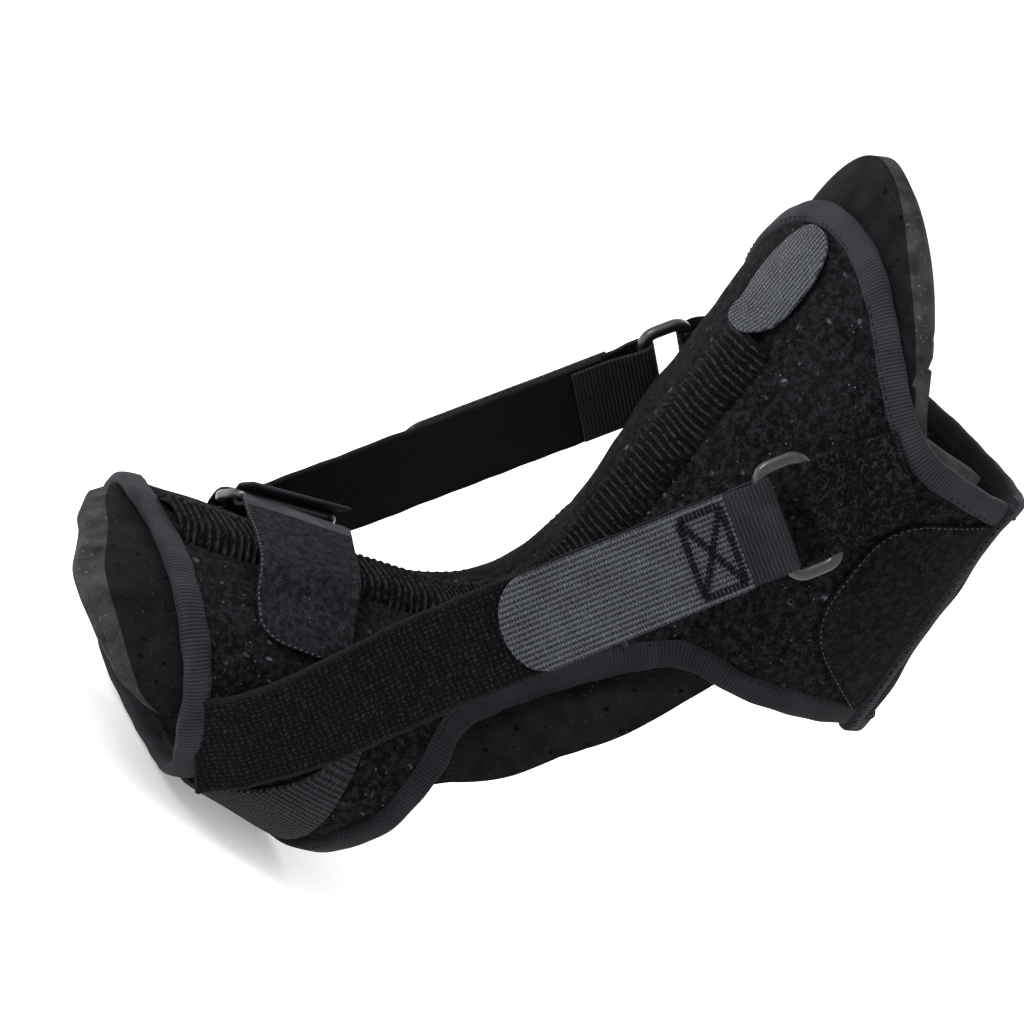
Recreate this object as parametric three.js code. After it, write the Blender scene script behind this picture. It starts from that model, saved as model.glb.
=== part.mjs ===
// Ankle foot orthosis: a soft dorsal splint for a right foot, with two traction straps.
// Millimetres. The origin is the centre of the ankle joint, +Z runs up the leg, the toes
// point along -Y and +X is the inner (medial) side of the foot.
import * as THREE from 'three';
import { mergeVertices } from 'three/addons/utils/BufferGeometryUtils.js';

// ---------------------------------------------------------------- driving dimensions
// The limb that the splint is worn on: a foot line and a shin line, joined by a round instep.
const FOOT_ANGLE = -14;            // slope of the top of the foot, degrees
const SHIN_ANGLE = 89;             // slope of the front of the shin, degrees
const INSTEP_CORNER = [39.5, -3.3]; // where the two lines cross, forward and up from the ankle
const INSTEP_RADIUS = 49.4;
const TOE_OUT = Math.tan(THREE.MathUtils.degToRad(7));
const TOE_OUT_START = 20;          // the foot turns outwards ahead of this
// Sections of the limb: distance u along its front line, half width, depth, squareness.
const SECTIONS = [
  [-175, 44, 39, 2.6], [-110, 42, 46, 2.5], [-60, 45, 60, 2.3], [-10, 45, 80, 2.2],
  [35, 46, 90, 2.2], [80, 49, 82, 2.3], [130, 51, 76, 2.3], [190, 55, 90, 2.2],
];

// Layers, measured outwards from the skin.
const LINER = [0.3, 7.4];          // closed-cell foam
const SHELL = [8.1, 10.9];         // brushed fabric laminate
const ON_SHELL = 11.7;             // where everything sewn or stuck on the shell starts
const PATCH = 1.5;                 // hook and loop tabs
const EDGING_WIDTH = 6.4;
const EDGING_THICKNESS = 4.4;
const EDGING_CENTRE = 10.5;
const EDGING_GAP = 0.4;
const INSTEP_GAP = 0.6;            // half the clearance where shin and foot panels meet

// Aluminium stay and the ribbed channel that holds it.
const STAY_WIDTH = 16;
const STAY = [12.1, 13.7];
const STAY_END = 10;               // stay stops this far inside its channel
const CHANNEL_HALF = 12;

// Webbing, rings and tabs.
const WEBBING = 30;
const LOOP_WIDTH = 29;
const STRAP_THICKNESS = 1.8;
const RING_WIDTH = 39;
const RING_BAR = 4;
const RING_PITCH = 16;             // from bar centre to bar centre
const RING_THICKNESS = 3.6;
const RING_CORNER = 4;
const RING_INNER_CORNER = 1.4;
const LOOP_WALL = 1.3;
const LOOP_CLEARANCE = 0.5;
const LOOP_INSIDE = RING_BAR / 2 + LOOP_CLEARANCE;
const LOOP_OUTSIDE = LOOP_INSIDE + LOOP_WALL;
const ANCHOR_TAIL = 27;
const LOOP_SLACK = 1.9;            // room for a ring to turn in its anchor
const LOOP_LENGTH = 12;            // webbing from the front bar to the hook tab
const TAB_LENGTH = 77;
const TAB_NOSE = 11;
const TAB_GAP = 0.4;
const TAB_INNER = 1.6;             // from the strap's middle to the inside of the tab
const STRAP_SHORT = 15;            // strap end to front bar, hidden under the tab

const degrees = THREE.MathUtils.degToRad;
const lerp = THREE.MathUtils.lerp;

// A smooth curve through rows of [position, value, value, ...].
function smoothTable(rows) {
  const slope = (i, k) => {
    const a = rows[Math.max(i - 1, 0)], b = rows[Math.min(i + 1, rows.length - 1)];
    return (b[k] - a[k]) / (b[0] - a[0]);
  };
  return (x, k = 1) => {
    const last = rows.length - 1;
    if (x <= rows[0][0]) return rows[0][k];
    if (x >= rows[last][0]) return rows[last][k];
    let i = 0;
    while (x > rows[i + 1][0]) i++;
    const a = rows[i], b = rows[i + 1], h = b[0] - a[0], t = (x - a[0]) / h;
    return (2 * t ** 3 - 3 * t ** 2 + 1) * a[k] + (3 * t ** 2 - 2 * t ** 3) * b[k]
      + (t ** 3 - 2 * t ** 2 + t) * h * slope(i, k) + (t ** 3 - t ** 2) * h * slope(i + 1, k);
  };
}

// ---------------------------------------------------------------- the limb surface
const section = smoothTable(SECTIONS);
const direction = (angle) => new THREE.Vector2(Math.cos(degrees(angle)), Math.sin(degrees(angle)));
const footLine = direction(FOOT_ANGLE);
const shinLine = direction(SHIN_ANGLE);
const instepTurn = Math.PI - degrees(SHIN_ANGLE - FOOT_ANGLE);
const halfArc = INSTEP_RADIUS * instepTurn / 2;
const tangentLength = INSTEP_RADIUS * Math.tan(instepTurn / 2);
const corner = new THREE.Vector2(...INSTEP_CORNER);
const footTangent = corner.clone().addScaledVector(footLine, tangentLength);
const shinTangent = corner.clone().addScaledVector(shinLine, tangentLength);
const footNormal = new THREE.Vector2(-footLine.y, footLine.x);
const shinNormal = new THREE.Vector2(shinLine.y, -shinLine.x);
const instepCentre = footTangent.clone().addScaledVector(footNormal, INSTEP_RADIUS);

// Point and outward normal of the front line, in the (forward, up) plane.
function frontLine(u) {
  if (u <= -halfArc) {
    return [footTangent.clone().addScaledVector(footLine, -halfArc - u), footNormal.clone()];
  }
  if (u >= halfArc) {
    return [shinTangent.clone().addScaledVector(shinLine, u - halfArc), shinNormal.clone()];
  }
  const normal = footNormal.clone().rotateAround(new THREE.Vector2(), -(u + halfArc) / INSTEP_RADIUS);
  return [instepCentre.clone().addScaledVector(normal, -INSTEP_RADIUS), normal];
}

const signedPower = (x, power) => Math.sign(x) * Math.abs(x) ** power;
const toeOut = (forward) => TOE_OUT * Math.max(0, forward - TOE_OUT_START);

// u runs along the front line, v (degrees) around the limb towards the inner side.
function limb(u, v, off) {
  const [front, normal] = frontLine(u);
  const half = section(u, 1), depth = section(u, 2) / 2, power = 2 / section(u, 3);
  const across = (half + off) * signedPower(Math.sin(degrees(v)), power);
  const inward = depth - (depth + off) * signedPower(Math.cos(degrees(v)), power);
  const p = front.addScaledVector(normal, -inward);
  return new THREE.Vector3(across - toeOut(p.x), -p.x, p.y);
}

// The v at which the surface is a given distance from the middle line.
function vAcross(u, across, off) {
  const ratio = Math.min(Math.abs(across) / (section(u, 1) + off), 1);
  return Math.sign(across) * THREE.MathUtils.radToDeg(Math.asin(ratio ** (section(u, 3) / 2)));
}

// A point of the shin moved to a given distance off the skin.
function drapeOnShin(point, off) {
  const forward = -point.y, offset = new THREE.Vector2(forward, point.z).sub(shinTangent);
  const u = offset.dot(shinLine) + halfArc;
  const half = section(u, 1), depth = section(u, 2) / 2, power = section(u, 3) / 2;
  const x = signedPower((point.x + toeOut(forward)) / (half + off), power);
  const y = signedPower((offset.dot(shinNormal) + depth) / (depth + off), power);
  return limb(u, THREE.MathUtils.radToDeg(Math.atan2(x, y)), off);
}

// ---------------------------------------------------------------- building blocks
// Bends a geometry by a function of its own x, y and z.
function bend(geometry, place) {
  const position = geometry.attributes.position;
  for (let i = 0; i < position.count; i++) {
    const p = place(position.getX(i), position.getY(i), position.getZ(i));
    position.setXYZ(i, p.x, p.y, p.z);
  }
  return weld(geometry);
}

function weld(geometry) {
  geometry.deleteAttribute('normal');
  geometry.deleteAttribute('uv');
  const merged = mergeVertices(geometry, 1e-4);
  merged.computeVertexNormals();
  return merged;
}

// A sheet on the limb: v from v0 to v1, and for each v, u from low(v) to high(v).
// Its rows are closer together near the instep, where the limb bends most.
const BUNCHING = 1.5;
function panel({ v0, v1, low, high, inner, outer, nv, nu, instep = 0 }) {
  const rows = { low: (t) => t ** BUNCHING, high: (t) => 1 - (1 - t) ** BUNCHING, 0: (t) => t }[instep];
  return bend(new THREE.BoxGeometry(1, 1, 1, nv, nu, 1), (x, y, z) => {
    const v = lerp(v0, v1, x + 0.5);
    const u = lerp(low(v), high(v), rows(y + 0.5));
    return limb(u, v, lerp(inner, outer, z + 0.5));
  });
}

// A strip on the limb that follows its front line: across is in millimetres.
function frontStrip(half, u0, u1, inner, outer, nx, nu) {
  return bend(new THREE.BoxGeometry(1, 1, 1, nx, nu, 1), (x, y, z) => {
    const u = lerp(u0, u1, y + 0.5), off = lerp(inner, outer, z + 0.5);
    return limb(u, vAcross(u, 2 * half * x, off), off);
  });
}

// Rounded tape along a path(t) = [u, v] on the limb.
function edging(path, steps, off = EDGING_CENTRE, width = EDGING_WIDTH) {
  const step = 1e-3, sides = 8;
  const at = (t, extra = 0) => limb(...path(t), off + extra);
  return bend(new THREE.CylinderGeometry(1, 1, 1, sides, steps), (x, y, z) => {
    const t = y + 0.5;
    const along = at(t + step).sub(at(t - step)).normalize();
    const normal = at(t, 1).sub(at(t)).normalize();
    const across = along.clone().cross(normal).normalize();
    const up = across.clone().cross(along);
    return at(t).addScaledVector(across, x * width / 2).addScaledVector(up, z * EDGING_THICKNESS / 2);
  });
}

function roundedRectangle(halfX, halfY, radius, path = new THREE.Shape()) {
  path.moveTo(halfX, -halfY + radius);
  path.lineTo(halfX, halfY - radius);
  path.absarc(halfX - radius, halfY - radius, radius, 0, Math.PI / 2);
  path.lineTo(-halfX + radius, halfY);
  path.absarc(-halfX + radius, halfY - radius, radius, Math.PI / 2, Math.PI);
  path.lineTo(-halfX, -halfY + radius);
  path.absarc(-halfX + radius, -halfY + radius, radius, Math.PI, 1.5 * Math.PI);
  path.lineTo(halfX - radius, -halfY);
  path.absarc(halfX - radius, -halfY + radius, radius, 1.5 * Math.PI, 2 * Math.PI);
  return path;
}

const group = new THREE.Group();
function add(name, geometry, color, roughness, metalness = 0) {
  const mesh = new THREE.Mesh(geometry, new THREE.MeshStandardMaterial({ color, roughness, metalness }));
  mesh.name = name;
  group.add(mesh);
  return mesh;
}

const FABRIC = 0x17181b;
const FOAM = 0x2e2e30;
const TAPE = 0x303237;
const WEB = 0x131417;
const HOOK = 0x464850;
const PLASTIC = 0x2a2f30;
const ALUMINIUM = 0xb8babd;

// ---------------------------------------------------------------- outlines
const raised = (v, amount, power) => amount * ((1 - Math.cos(degrees(v))) / 2) ** power;
const toeEdge = (v) => -131 + raised(v, 28, 1.5);
const heelEdgeTable = smoothTable([
  [30, -INSTEP_GAP], [38, -22], [50, -37], [72, -43], [95, -49], [120, -57], [180, -62],
]);
const heelEdge = (v) => heelEdgeTable(Math.abs(v));
const ankleEdgeTable = smoothTable([
  [30, INSTEP_GAP], [35, 12], [42, 28], [52, 35], [72, 37], [95, 43], [120, 50], [180, 56],
]);
const ankleEdge = (v) => ankleEdgeTable(Math.abs(v));
const TOP_SIDE = 127, TOP_RISE = 39, TOP_SPREAD = 80;
const topEdge = (v) => {
  const turn = Math.min(Math.abs(v) / TOP_SPREAD, 1) * Math.PI / 2;
  return TOP_SIDE + TOP_RISE * Math.cos(turn) ** 2;
};
const linerToe = smoothTable([         // longest over the big toe
  [-100, -112], [-75, -124], [-45, -134], [-20, -143], [0, -148],
  [29, -161], [50, -164], [78, -157], [90, -147], [100, -135],
]);
const linerTop = (v) => 133 + 56 * Math.cos(degrees(Math.min(Math.abs(v) * 1.25, 89))) ** 1.2;
const linerHeelTable = smoothTable([[56, -INSTEP_GAP], [66, -12], [74, -28], [84, -45], [96, -56]]);
const linerHeel = (v) => linerHeelTable(Math.abs(v));
const linerAnkleTable = smoothTable([[56, INSTEP_GAP], [61, 12], [66, 33], [80, 45], [96, 50]]);
const linerAnkle = (v) => linerAnkleTable(Math.abs(v));

// How far a panel stops short of its edge line, so that the edging tape fits beyond it.
const ARC_PER_DEGREE = 0.95;
function inset(edge, v) {
  const slope = (edge(v + 1) - edge(v - 1)) / (2 * ARC_PER_DEGREE);
  return (EDGING_WIDTH / 2 + EDGING_GAP) * Math.hypot(1, slope);
}

// ---------------------------------------------------------------- foam liner and fabric shell
const LINER_REACH = 96;
add('foot_liner', panel({
  v0: -LINER_REACH, v1: LINER_REACH, low: linerToe, high: linerHeel,
  inner: LINER[0], outer: LINER[1], nv: 24, nu: 8, instep: 'high',
}), FOAM, 0.9);
add('shin_liner', panel({
  v0: -LINER_REACH, v1: LINER_REACH, low: linerAnkle, high: linerTop,
  inner: LINER[0], outer: LINER[1], nv: 24, nu: 9, instep: 'low',
}), FOAM, 0.9);

const SOLE_SEAM = 176;
const EDGED_FROM = 30;             // the lower edges are taped from this far round
const taped = (edge, v) => {
  const start = THREE.MathUtils.clamp((Math.abs(v) - EDGED_FROM + 4) / 5, 0, 1);
  return start * inset(edge, v);
};
add('foot_shell', panel({
  v0: -SOLE_SEAM, v1: SOLE_SEAM,
  low: (v) => toeEdge(v) + inset(toeEdge, v), high: (v) => heelEdge(v) - taped(heelEdge, v),
  inner: SHELL[0], outer: SHELL[1], nv: 40, nu: 8, instep: 'high',
}), FABRIC, 0.95);

const SHELL_BACK = 112;            // both sides of the shin shell end here, behind the calf
add('shin_shell', panel({
  v0: -SHELL_BACK, v1: SHELL_BACK,
  low: (v) => ankleEdge(v) + taped(ankleEdge, v), high: (v) => topEdge(v) - inset(topEdge, v),
  inner: SHELL[0], outer: SHELL[1], nv: 28, nu: 9, instep: 'low',
}), FABRIC, 0.95);

// ---------------------------------------------------------------- edging tapes
const EDGE_END = 2;
add('toe_edging', edging((t) => {
  const v = lerp(-180 + EDGE_END, 180 - EDGE_END, t);
  return [toeEdge(v), v];
}, 40), TAPE, 0.75);
add('top_edging', edging((t) => {
  const v = lerp(SHELL_BACK, -SHELL_BACK, t);
  return [topEdge(v), v];
}, 30), TAPE, 0.75);
for (const [side, sign] of [['medial', 1], ['lateral', -1]]) {
  const sweep = (from, to) => (t) => sign * lerp(from, to, sign > 0 ? t : 1 - t);
  const around = sweep(EDGED_FROM + 3, 178);
  add(`foot_edging_${side}`, edging((t) => [heelEdge(around(t)), around(t)], 22), TAPE, 0.75);
  const behind = sweep(EDGED_FROM + 4, SHELL_BACK);
  add(`shin_edging_${side}`, edging((t) => [ankleEdge(behind(t)), behind(t)], 16), TAPE, 0.75);
}

// ---------------------------------------------------------------- calf band and its hook tab
const BAND_FROM = SHELL_BACK + 8.5;
const BAND_TO = 360 - SHELL_BACK - 1;
const BAND_TOP = TOP_SIDE + 3;
const BAND_FOOT = 45;
const BAND_EDGING_CENTRE = 11.6;
add('calf_band', panel({
  v0: BAND_FROM, v1: BAND_TO, low: () => BAND_FOOT, high: () => BAND_TOP,
  inner: SHELL[0], outer: SHELL[1] + 1.2, nv: 14, nu: 6,
}), FABRIC, 0.95);
const bandEnd = (t) => [lerp(BAND_TOP - 1, BAND_FOOT - 1, t), BAND_FROM - 4];
add('calf_band_edging', edging(bandEnd, 10, BAND_EDGING_CENTRE), TAPE, 0.75);

const CALF_TAB_MIDDLE = 86, CALF_TAB_HALF = 37, CALF_TAB_FRONT = 76.5, CALF_TAB_BACK = 110.5;
const calfTabFront = (u) => CALF_TAB_FRONT
  + (CALF_TAB_BACK - CALF_TAB_FRONT) * ((u - CALF_TAB_MIDDLE) / CALF_TAB_HALF) ** 4;
add('calf_hook_tab', bend(new THREE.BoxGeometry(1, 1, 1, 5, 16, 1), (x, y, z) => {
  const u = CALF_TAB_MIDDLE + 2 * y * (CALF_TAB_HALF - 1.5);
  const v = lerp(calfTabFront(u), CALF_TAB_BACK, x + 0.5);
  return limb(u, v, ON_SHELL + PATCH * (z + 0.5));
}), HOOK, 0.9);

// ---------------------------------------------------------------- stay and ribbed channel
function channel(u0, u1, steps) {
  const wall = 2.2, top = 4.3, roof = 2.8, shoulder = 3.3, crown = 6;
  const shape = new THREE.Shape();
  const outline = [
    [-CHANNEL_HALF, 0], [-CHANNEL_HALF + wall, 0], [-CHANNEL_HALF + wall, roof - 0.3], [-crown / 2, roof],
    [crown / 2, roof], [CHANNEL_HALF - wall, roof - 0.3], [CHANNEL_HALF - wall, 0], [CHANNEL_HALF, 0],
    [CHANNEL_HALF - 0.6, shoulder], [crown, top - 0.2], [0, top], [-crown, top - 0.2],
    [-CHANNEL_HALF + 0.6, shoulder],
  ];
  outline.forEach(([x, y], i) => (i ? shape.lineTo(x, y) : shape.moveTo(x, y)));
  const geometry = new THREE.ExtrudeGeometry(shape, { depth: 1, steps, bevelEnabled: false });
  return bend(geometry, (x, y, z) => {
    const u = lerp(u1, u0, z), off = ON_SHELL + y;
    return limb(u, vAcross(u, x, off), off);
  });
}
const CHANNEL_TOE = -126, CHANNEL_TOP = 121;
const BEND_CLEAR = 1.2;            // wedge that closes when the foot comes up
add('foot_channel', channel(CHANNEL_TOE, -BEND_CLEAR, 14), WEB, 0.85);
add('shin_channel', channel(BEND_CLEAR, CHANNEL_TOP, 14), WEB, 0.85);
const stay = (u0, u1) => frontStrip(STAY_WIDTH / 2, u0, u1, ...STAY, 2, 12);
add('foot_stay', stay(CHANNEL_TOE + STAY_END, -BEND_CLEAR), ALUMINIUM, 0.35, 1);
add('shin_stay', stay(BEND_CLEAR, CHANNEL_TOP - 1), ALUMINIUM, 0.35, 1);

// Oval flap that closes the mouth of the channel, tucked under the top edging.
const FLAP_FOOT = CHANNEL_TOP + 1.5, FLAP_TOP = 160, FLAP_HALF = 12.5, FLAP_SHIFT = -5;
add('stay_flap', bend(new THREE.CylinderGeometry(1, 1, 1, 24, 1), (x, y, z) => {
  const square = 1 / Math.max(Math.abs(x), Math.abs(z), 1e-6) * Math.hypot(x, z);
  const stretch = lerp(1, square, 0.25);
  const u = lerp(FLAP_FOOT, FLAP_TOP, (1 - z * stretch / lerp(1, Math.SQRT2, 0.25)) / 2);
  const off = ON_SHELL + PATCH * (y + 0.5);
  return limb(u, vAcross(u, FLAP_SHIFT + x * FLAP_HALF, off), off);
}), HOOK, 0.9);

// ---------------------------------------------------------------- sole closure
// A flap under the sole whose free edge runs along the lower edge of the medial strap.
const SOLE_HEEL = -68, SOLE_TOE = -100, SOLE_HINGE = 172;
const flapEdge = (u) => 76 - 1.65 * (u - SOLE_HEEL);
add('sole_flap', bend(new THREE.BoxGeometry(1, 1, 1, 12, 4, 1), (x, y, z) => {
  const u = lerp(SOLE_TOE, SOLE_HEEL, y + 0.5);
  const v = lerp(flapEdge(u), SOLE_HINGE, x + 0.5);
  return limb(Math.max(u, toeEdge(v) + inset(toeEdge, v) + 1), v, ON_SHELL + PATCH * (z + 0.5));
}), FABRIC, 0.95);

// ---------------------------------------------------------------- rings and folded webbing
function ringGeometry() {
  const bevel = 0.9, halfX = (RING_PITCH + RING_BAR) / 2, halfY = RING_WIDTH / 2;
  const shape = roundedRectangle(halfX - bevel, halfY - bevel, RING_CORNER);
  const inside = bevel - RING_BAR;
  const hole = roundedRectangle(halfX + inside, halfY + inside, RING_INNER_CORNER, new THREE.Path());
  shape.holes.push(hole);
  const geometry = new THREE.ExtrudeGeometry(shape, {
    depth: RING_THICKNESS - 2 * bevel, bevelThickness: bevel, bevelSize: bevel, bevelSegments: 1,
    curveSegments: 3, steps: 1,
  });
  geometry.translate(-RING_PITCH / 2, 0, -(RING_THICKNESS - 2 * bevel) / 2);
  return weld(geometry);
}

// Profile of webbing folded round a bar at the origin, with two legs that run to -x.
function loopProfile(outerLeg, innerLeg) {
  const shape = new THREE.Shape();
  shape.moveTo(-innerLeg, -LOOP_OUTSIDE);
  shape.absarc(0, 0, LOOP_OUTSIDE, -Math.PI / 2, Math.PI / 2);
  shape.lineTo(-outerLeg, LOOP_OUTSIDE);
  shape.lineTo(-outerLeg, LOOP_INSIDE);
  shape.absarc(0, 0, LOOP_INSIDE, Math.PI / 2, -Math.PI / 2, true);
  shape.lineTo(-innerLeg, -LOOP_INSIDE);
  shape.closePath();
  return shape;
}

// Profile of webbing with a slack eye round a bar at the origin and a tail that runs to +x.
function anchorProfile(tail) {
  const eyeEnd = 5, neck = 8;
  const tailSteps = [15, 21, tail];
  const profile = new THREE.Shape();
  profile.moveTo(-LOOP_SLACK, -LOOP_OUTSIDE);
  profile.lineTo(eyeEnd, -LOOP_OUTSIDE + 0.4);
  profile.lineTo(neck, -LOOP_OUTSIDE + 1.6);
  tailSteps.forEach((x) => profile.lineTo(x, -LOOP_WALL));
  tailSteps.reverse().forEach((x) => profile.lineTo(x, LOOP_WALL));
  profile.lineTo(neck, LOOP_OUTSIDE - 1.6);
  profile.lineTo(eyeEnd, LOOP_OUTSIDE - 0.4);
  profile.lineTo(-LOOP_SLACK, LOOP_OUTSIDE);
  profile.absarc(-LOOP_SLACK, 0, LOOP_OUTSIDE, Math.PI / 2, 1.5 * Math.PI);
  const eye = new THREE.Path();
  eye.absarc(LOOP_SLACK, 0, LOOP_INSIDE - 0.3, -Math.PI / 2, Math.PI / 2);
  eye.absarc(-LOOP_SLACK, 0, LOOP_INSIDE - 0.1, Math.PI / 2, 1.5 * Math.PI);
  profile.holes.push(eye);
  return profile;
}

// A frame of three unit axes at a point: x along the strap, y across it, z outwards.
class Frame {
  constructor(origin, along, outward) {
    this.origin = origin;
    this.x = along.clone().normalize();
    this.z = outward.clone().addScaledVector(this.x, -outward.dot(this.x)).normalize();
    this.y = this.z.clone().cross(this.x);
  }
  point(x, y, z) {
    return this.origin.clone().addScaledVector(this.x, x).addScaledVector(this.y, y)
      .addScaledVector(this.z, z);
  }
  place(geometry) { return bend(geometry, (x, y, z) => this.point(x, y, z)); }
}

// Webbing profile extruded across its width; profile x and y become frame x and z.
function webbing(profile, width, place) {
  const settings = { depth: width, steps: 2, bevelEnabled: false, curveSegments: 6 };
  const geometry = new THREE.ExtrudeGeometry(profile, settings);
  return bend(geometry, (x, y, z) => place(x, width / 2 - z, y));
}

// ---------------------------------------------------------------- traction straps
// Each place is [u, v, off]: the rear bar of the ring, and the strap's end on the foot shell.
const SIDES = {
  medial: {
    sign: 1, ring: [99, 55, 17], foot: [-114, 103, 15.5], anchor: [118, 68], tilt: 28, footTilt: 2, bow: 5,
  },
  lateral: {
    sign: -1, ring: [95, -74, 16], foot: [-105, -107, 17.2], anchor: [106, -88], tilt: 6, footTilt: 0, bow: 0,
  },
};
const xAxis = new THREE.Vector3(1, 0, 0);
for (const [side, s] of Object.entries(SIDES)) {
  const rear = limb(...s.ring);            // axis of the ring's rear bar
  const start = limb(...s.foot);           // where the strap is sewn to the foot shell
  const along = rear.clone().sub(start).normalize();
  const lift = xAxis.clone().cross(along);   // up and forwards, across the strap
  const outwards = (tilt) => xAxis.clone().multiplyScalar(s.sign * Math.cos(degrees(tilt)))
    .addScaledVector(lift, Math.sin(degrees(tilt)));
  const frame = new Frame(rear, along, outwards(s.tilt));
  s.frame = frame;

  add(`${side}_ring`, frame.place(ringGeometry()), PLASTIC, 0.3);

  // Anchor webbing: a slack loop round the rear bar, then two layers down on the shell.
  const down = limb(...s.anchor, s.ring[2] - 2).sub(rear).normalize();
  const tailFrame = new Frame(rear, down, frame.z);
  add(`${side}_ring_anchor`, webbing(anchorProfile(ANCHOR_TAIL), LOOP_WIDTH, (x, y, z) => {
    const free = frame.point(x, y, z);
    const sewn = drapeOnShin(tailFrame.point(x, y, 0), ON_SHELL + LOOP_WALL + z);
    return free.lerp(sewn, THREE.MathUtils.smoothstep(x, 5, 16));
  }), WEB, 0.9);

  // Loop of webbing round the front bar, and the hook tab sewn to it.
  const front = new Frame(frame.point(-RING_PITCH, 0, 0), along, frame.z);
  add(`${side}_strap_loop`, webbing(loopProfile(LOOP_LENGTH, 0.5), LOOP_WIDTH, (x, y, z) => {
    const settled = THREE.MathUtils.clamp((-x - 3) / 6, 0, 1);    // the outer leg comes down 1 mm
    return front.point(x, y, z > 0 ? z - settled : z);
  }), WEB, 0.9);
  const tabShape = new THREE.Shape();
  const halfTab = WEBBING / 2, tabStart = -LOOP_LENGTH - TAB_GAP, tabEnd = tabStart - TAB_LENGTH;
  tabShape.moveTo(tabStart, -halfTab);
  tabShape.lineTo(tabStart, halfTab);
  tabShape.lineTo(tabEnd + TAB_NOSE, halfTab);
  tabShape.absellipse(tabEnd + TAB_NOSE, 0, TAB_NOSE, halfTab, Math.PI / 2, 1.5 * Math.PI);
  tabShape.lineTo(tabStart, -halfTab);
  const tab = new THREE.ExtrudeGeometry(tabShape, { depth: PATCH, bevelEnabled: false, curveSegments: 8 });
  add(`${side}_hook_tab`, bend(tab, (x, y, z) => front.point(x, y, z + TAB_INNER)), HOOK, 0.9);

  // The strap itself, twisting from the side of the foot to the plane of the ring.
  const length = rear.distanceTo(start) - RING_PITCH - STRAP_SHORT;
  add(`${side}_strap`, bend(new THREE.BoxGeometry(1, 1, 1, 12, 2, 1), (x, y, z) => {
    const t = x + 0.5;
    const twist = lerp(s.footTilt, s.tilt, THREE.MathUtils.smoothstep(t, 0, 0.45));
    const here = new Frame(start, along, outwards(twist));
    const bow = s.bow * Math.sin(Math.PI * Math.min(t / 0.5, 1)) ** 2;
    return here.point(t * length, y * WEBBING, z * STRAP_THICKNESS + bow);
  }), WEB, 0.9);
}

// ---------------------------------------------------------------- forefoot ring, anchor and tab
const FORE = { u: -76, bar: -26, off: 18.2, drift: -16, taper: 0.2, round: 9, half: 19 };
const FORE_TAB_LENGTH = 66, FORE_TAB_START = 5.6, FORE_GIRTH = 0.855; // girth: mm per degree at the ring
const foreBar = limb(FORE.u, FORE.bar, FORE.off);          // axis of the bar that the tab folds round
const towardsOuter = limb(FORE.u, FORE.bar - 10, FORE.off - 1.5).sub(foreBar);
const foreFrame = new Frame(foreBar, towardsOuter, limb(FORE.u, FORE.bar, FORE.off + 1).sub(foreBar));
const foreRear = new Frame(foreFrame.point(RING_PITCH, 0, 0), foreFrame.x, foreFrame.z);
add('forefoot_ring', foreRear.place(ringGeometry()), PLASTIC, 0.3);
add('forefoot_ring_anchor', webbing(anchorProfile(ANCHOR_TAIL - 1), LOOP_WIDTH, (x, y, z) => {
  const v = FORE.bar - (RING_PITCH + x) / FORE_GIRTH;
  const sewn = limb(FORE.u - y, v, ON_SHELL + LOOP_WALL + z);
  return foreRear.point(x, y, z).lerp(sewn, THREE.MathUtils.smoothstep(x, 4, 18));
}), WEB, 0.9);
const foreLoop = webbing(loopProfile(5, 0.5), LOOP_WIDTH, (x, y, z) => foreFrame.point(x, y, z));
add('forefoot_tab_loop', foreLoop, WEB, 0.9);

add('forefoot_tab', bend(new THREE.BoxGeometry(1, 1, 1, 16, 4, 1), (x, y, z) => {
  const along = FORE_TAB_LENGTH * (x + 0.5);
  const t = along / FORE_TAB_LENGTH;
  const rounded = Math.max(0, along - (FORE_TAB_LENGTH - FORE.round));
  const corner = FORE.round - Math.sqrt(FORE.round ** 2 - Math.min(rounded, FORE.round * 0.98) ** 2);
  const half = FORE.half * (1 - FORE.taper * t) - corner;
  const v = FORE.bar + (FORE_TAB_START + along) / ARC_PER_DEGREE;
  const off = lerp(FORE.off - 1.2, ON_SHELL + 0.3, THREE.MathUtils.smoothstep(v, 12, 30));
  return limb(FORE.u + FORE.drift * t + 2 * y * half, v, off + PATCH * (z + 0.5));
}), FABRIC, 0.95);

export default group;
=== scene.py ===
"""Looks for the ankle foot orthosis: cloth, foam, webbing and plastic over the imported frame.

Shapes are worked out in millimetres on the same limb surface as the part, and written in metres.
"""

import math

import bmesh
import bpy
import numpy as np
from mathutils import Matrix, Vector
from mathutils.kdtree import KDTree


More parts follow.
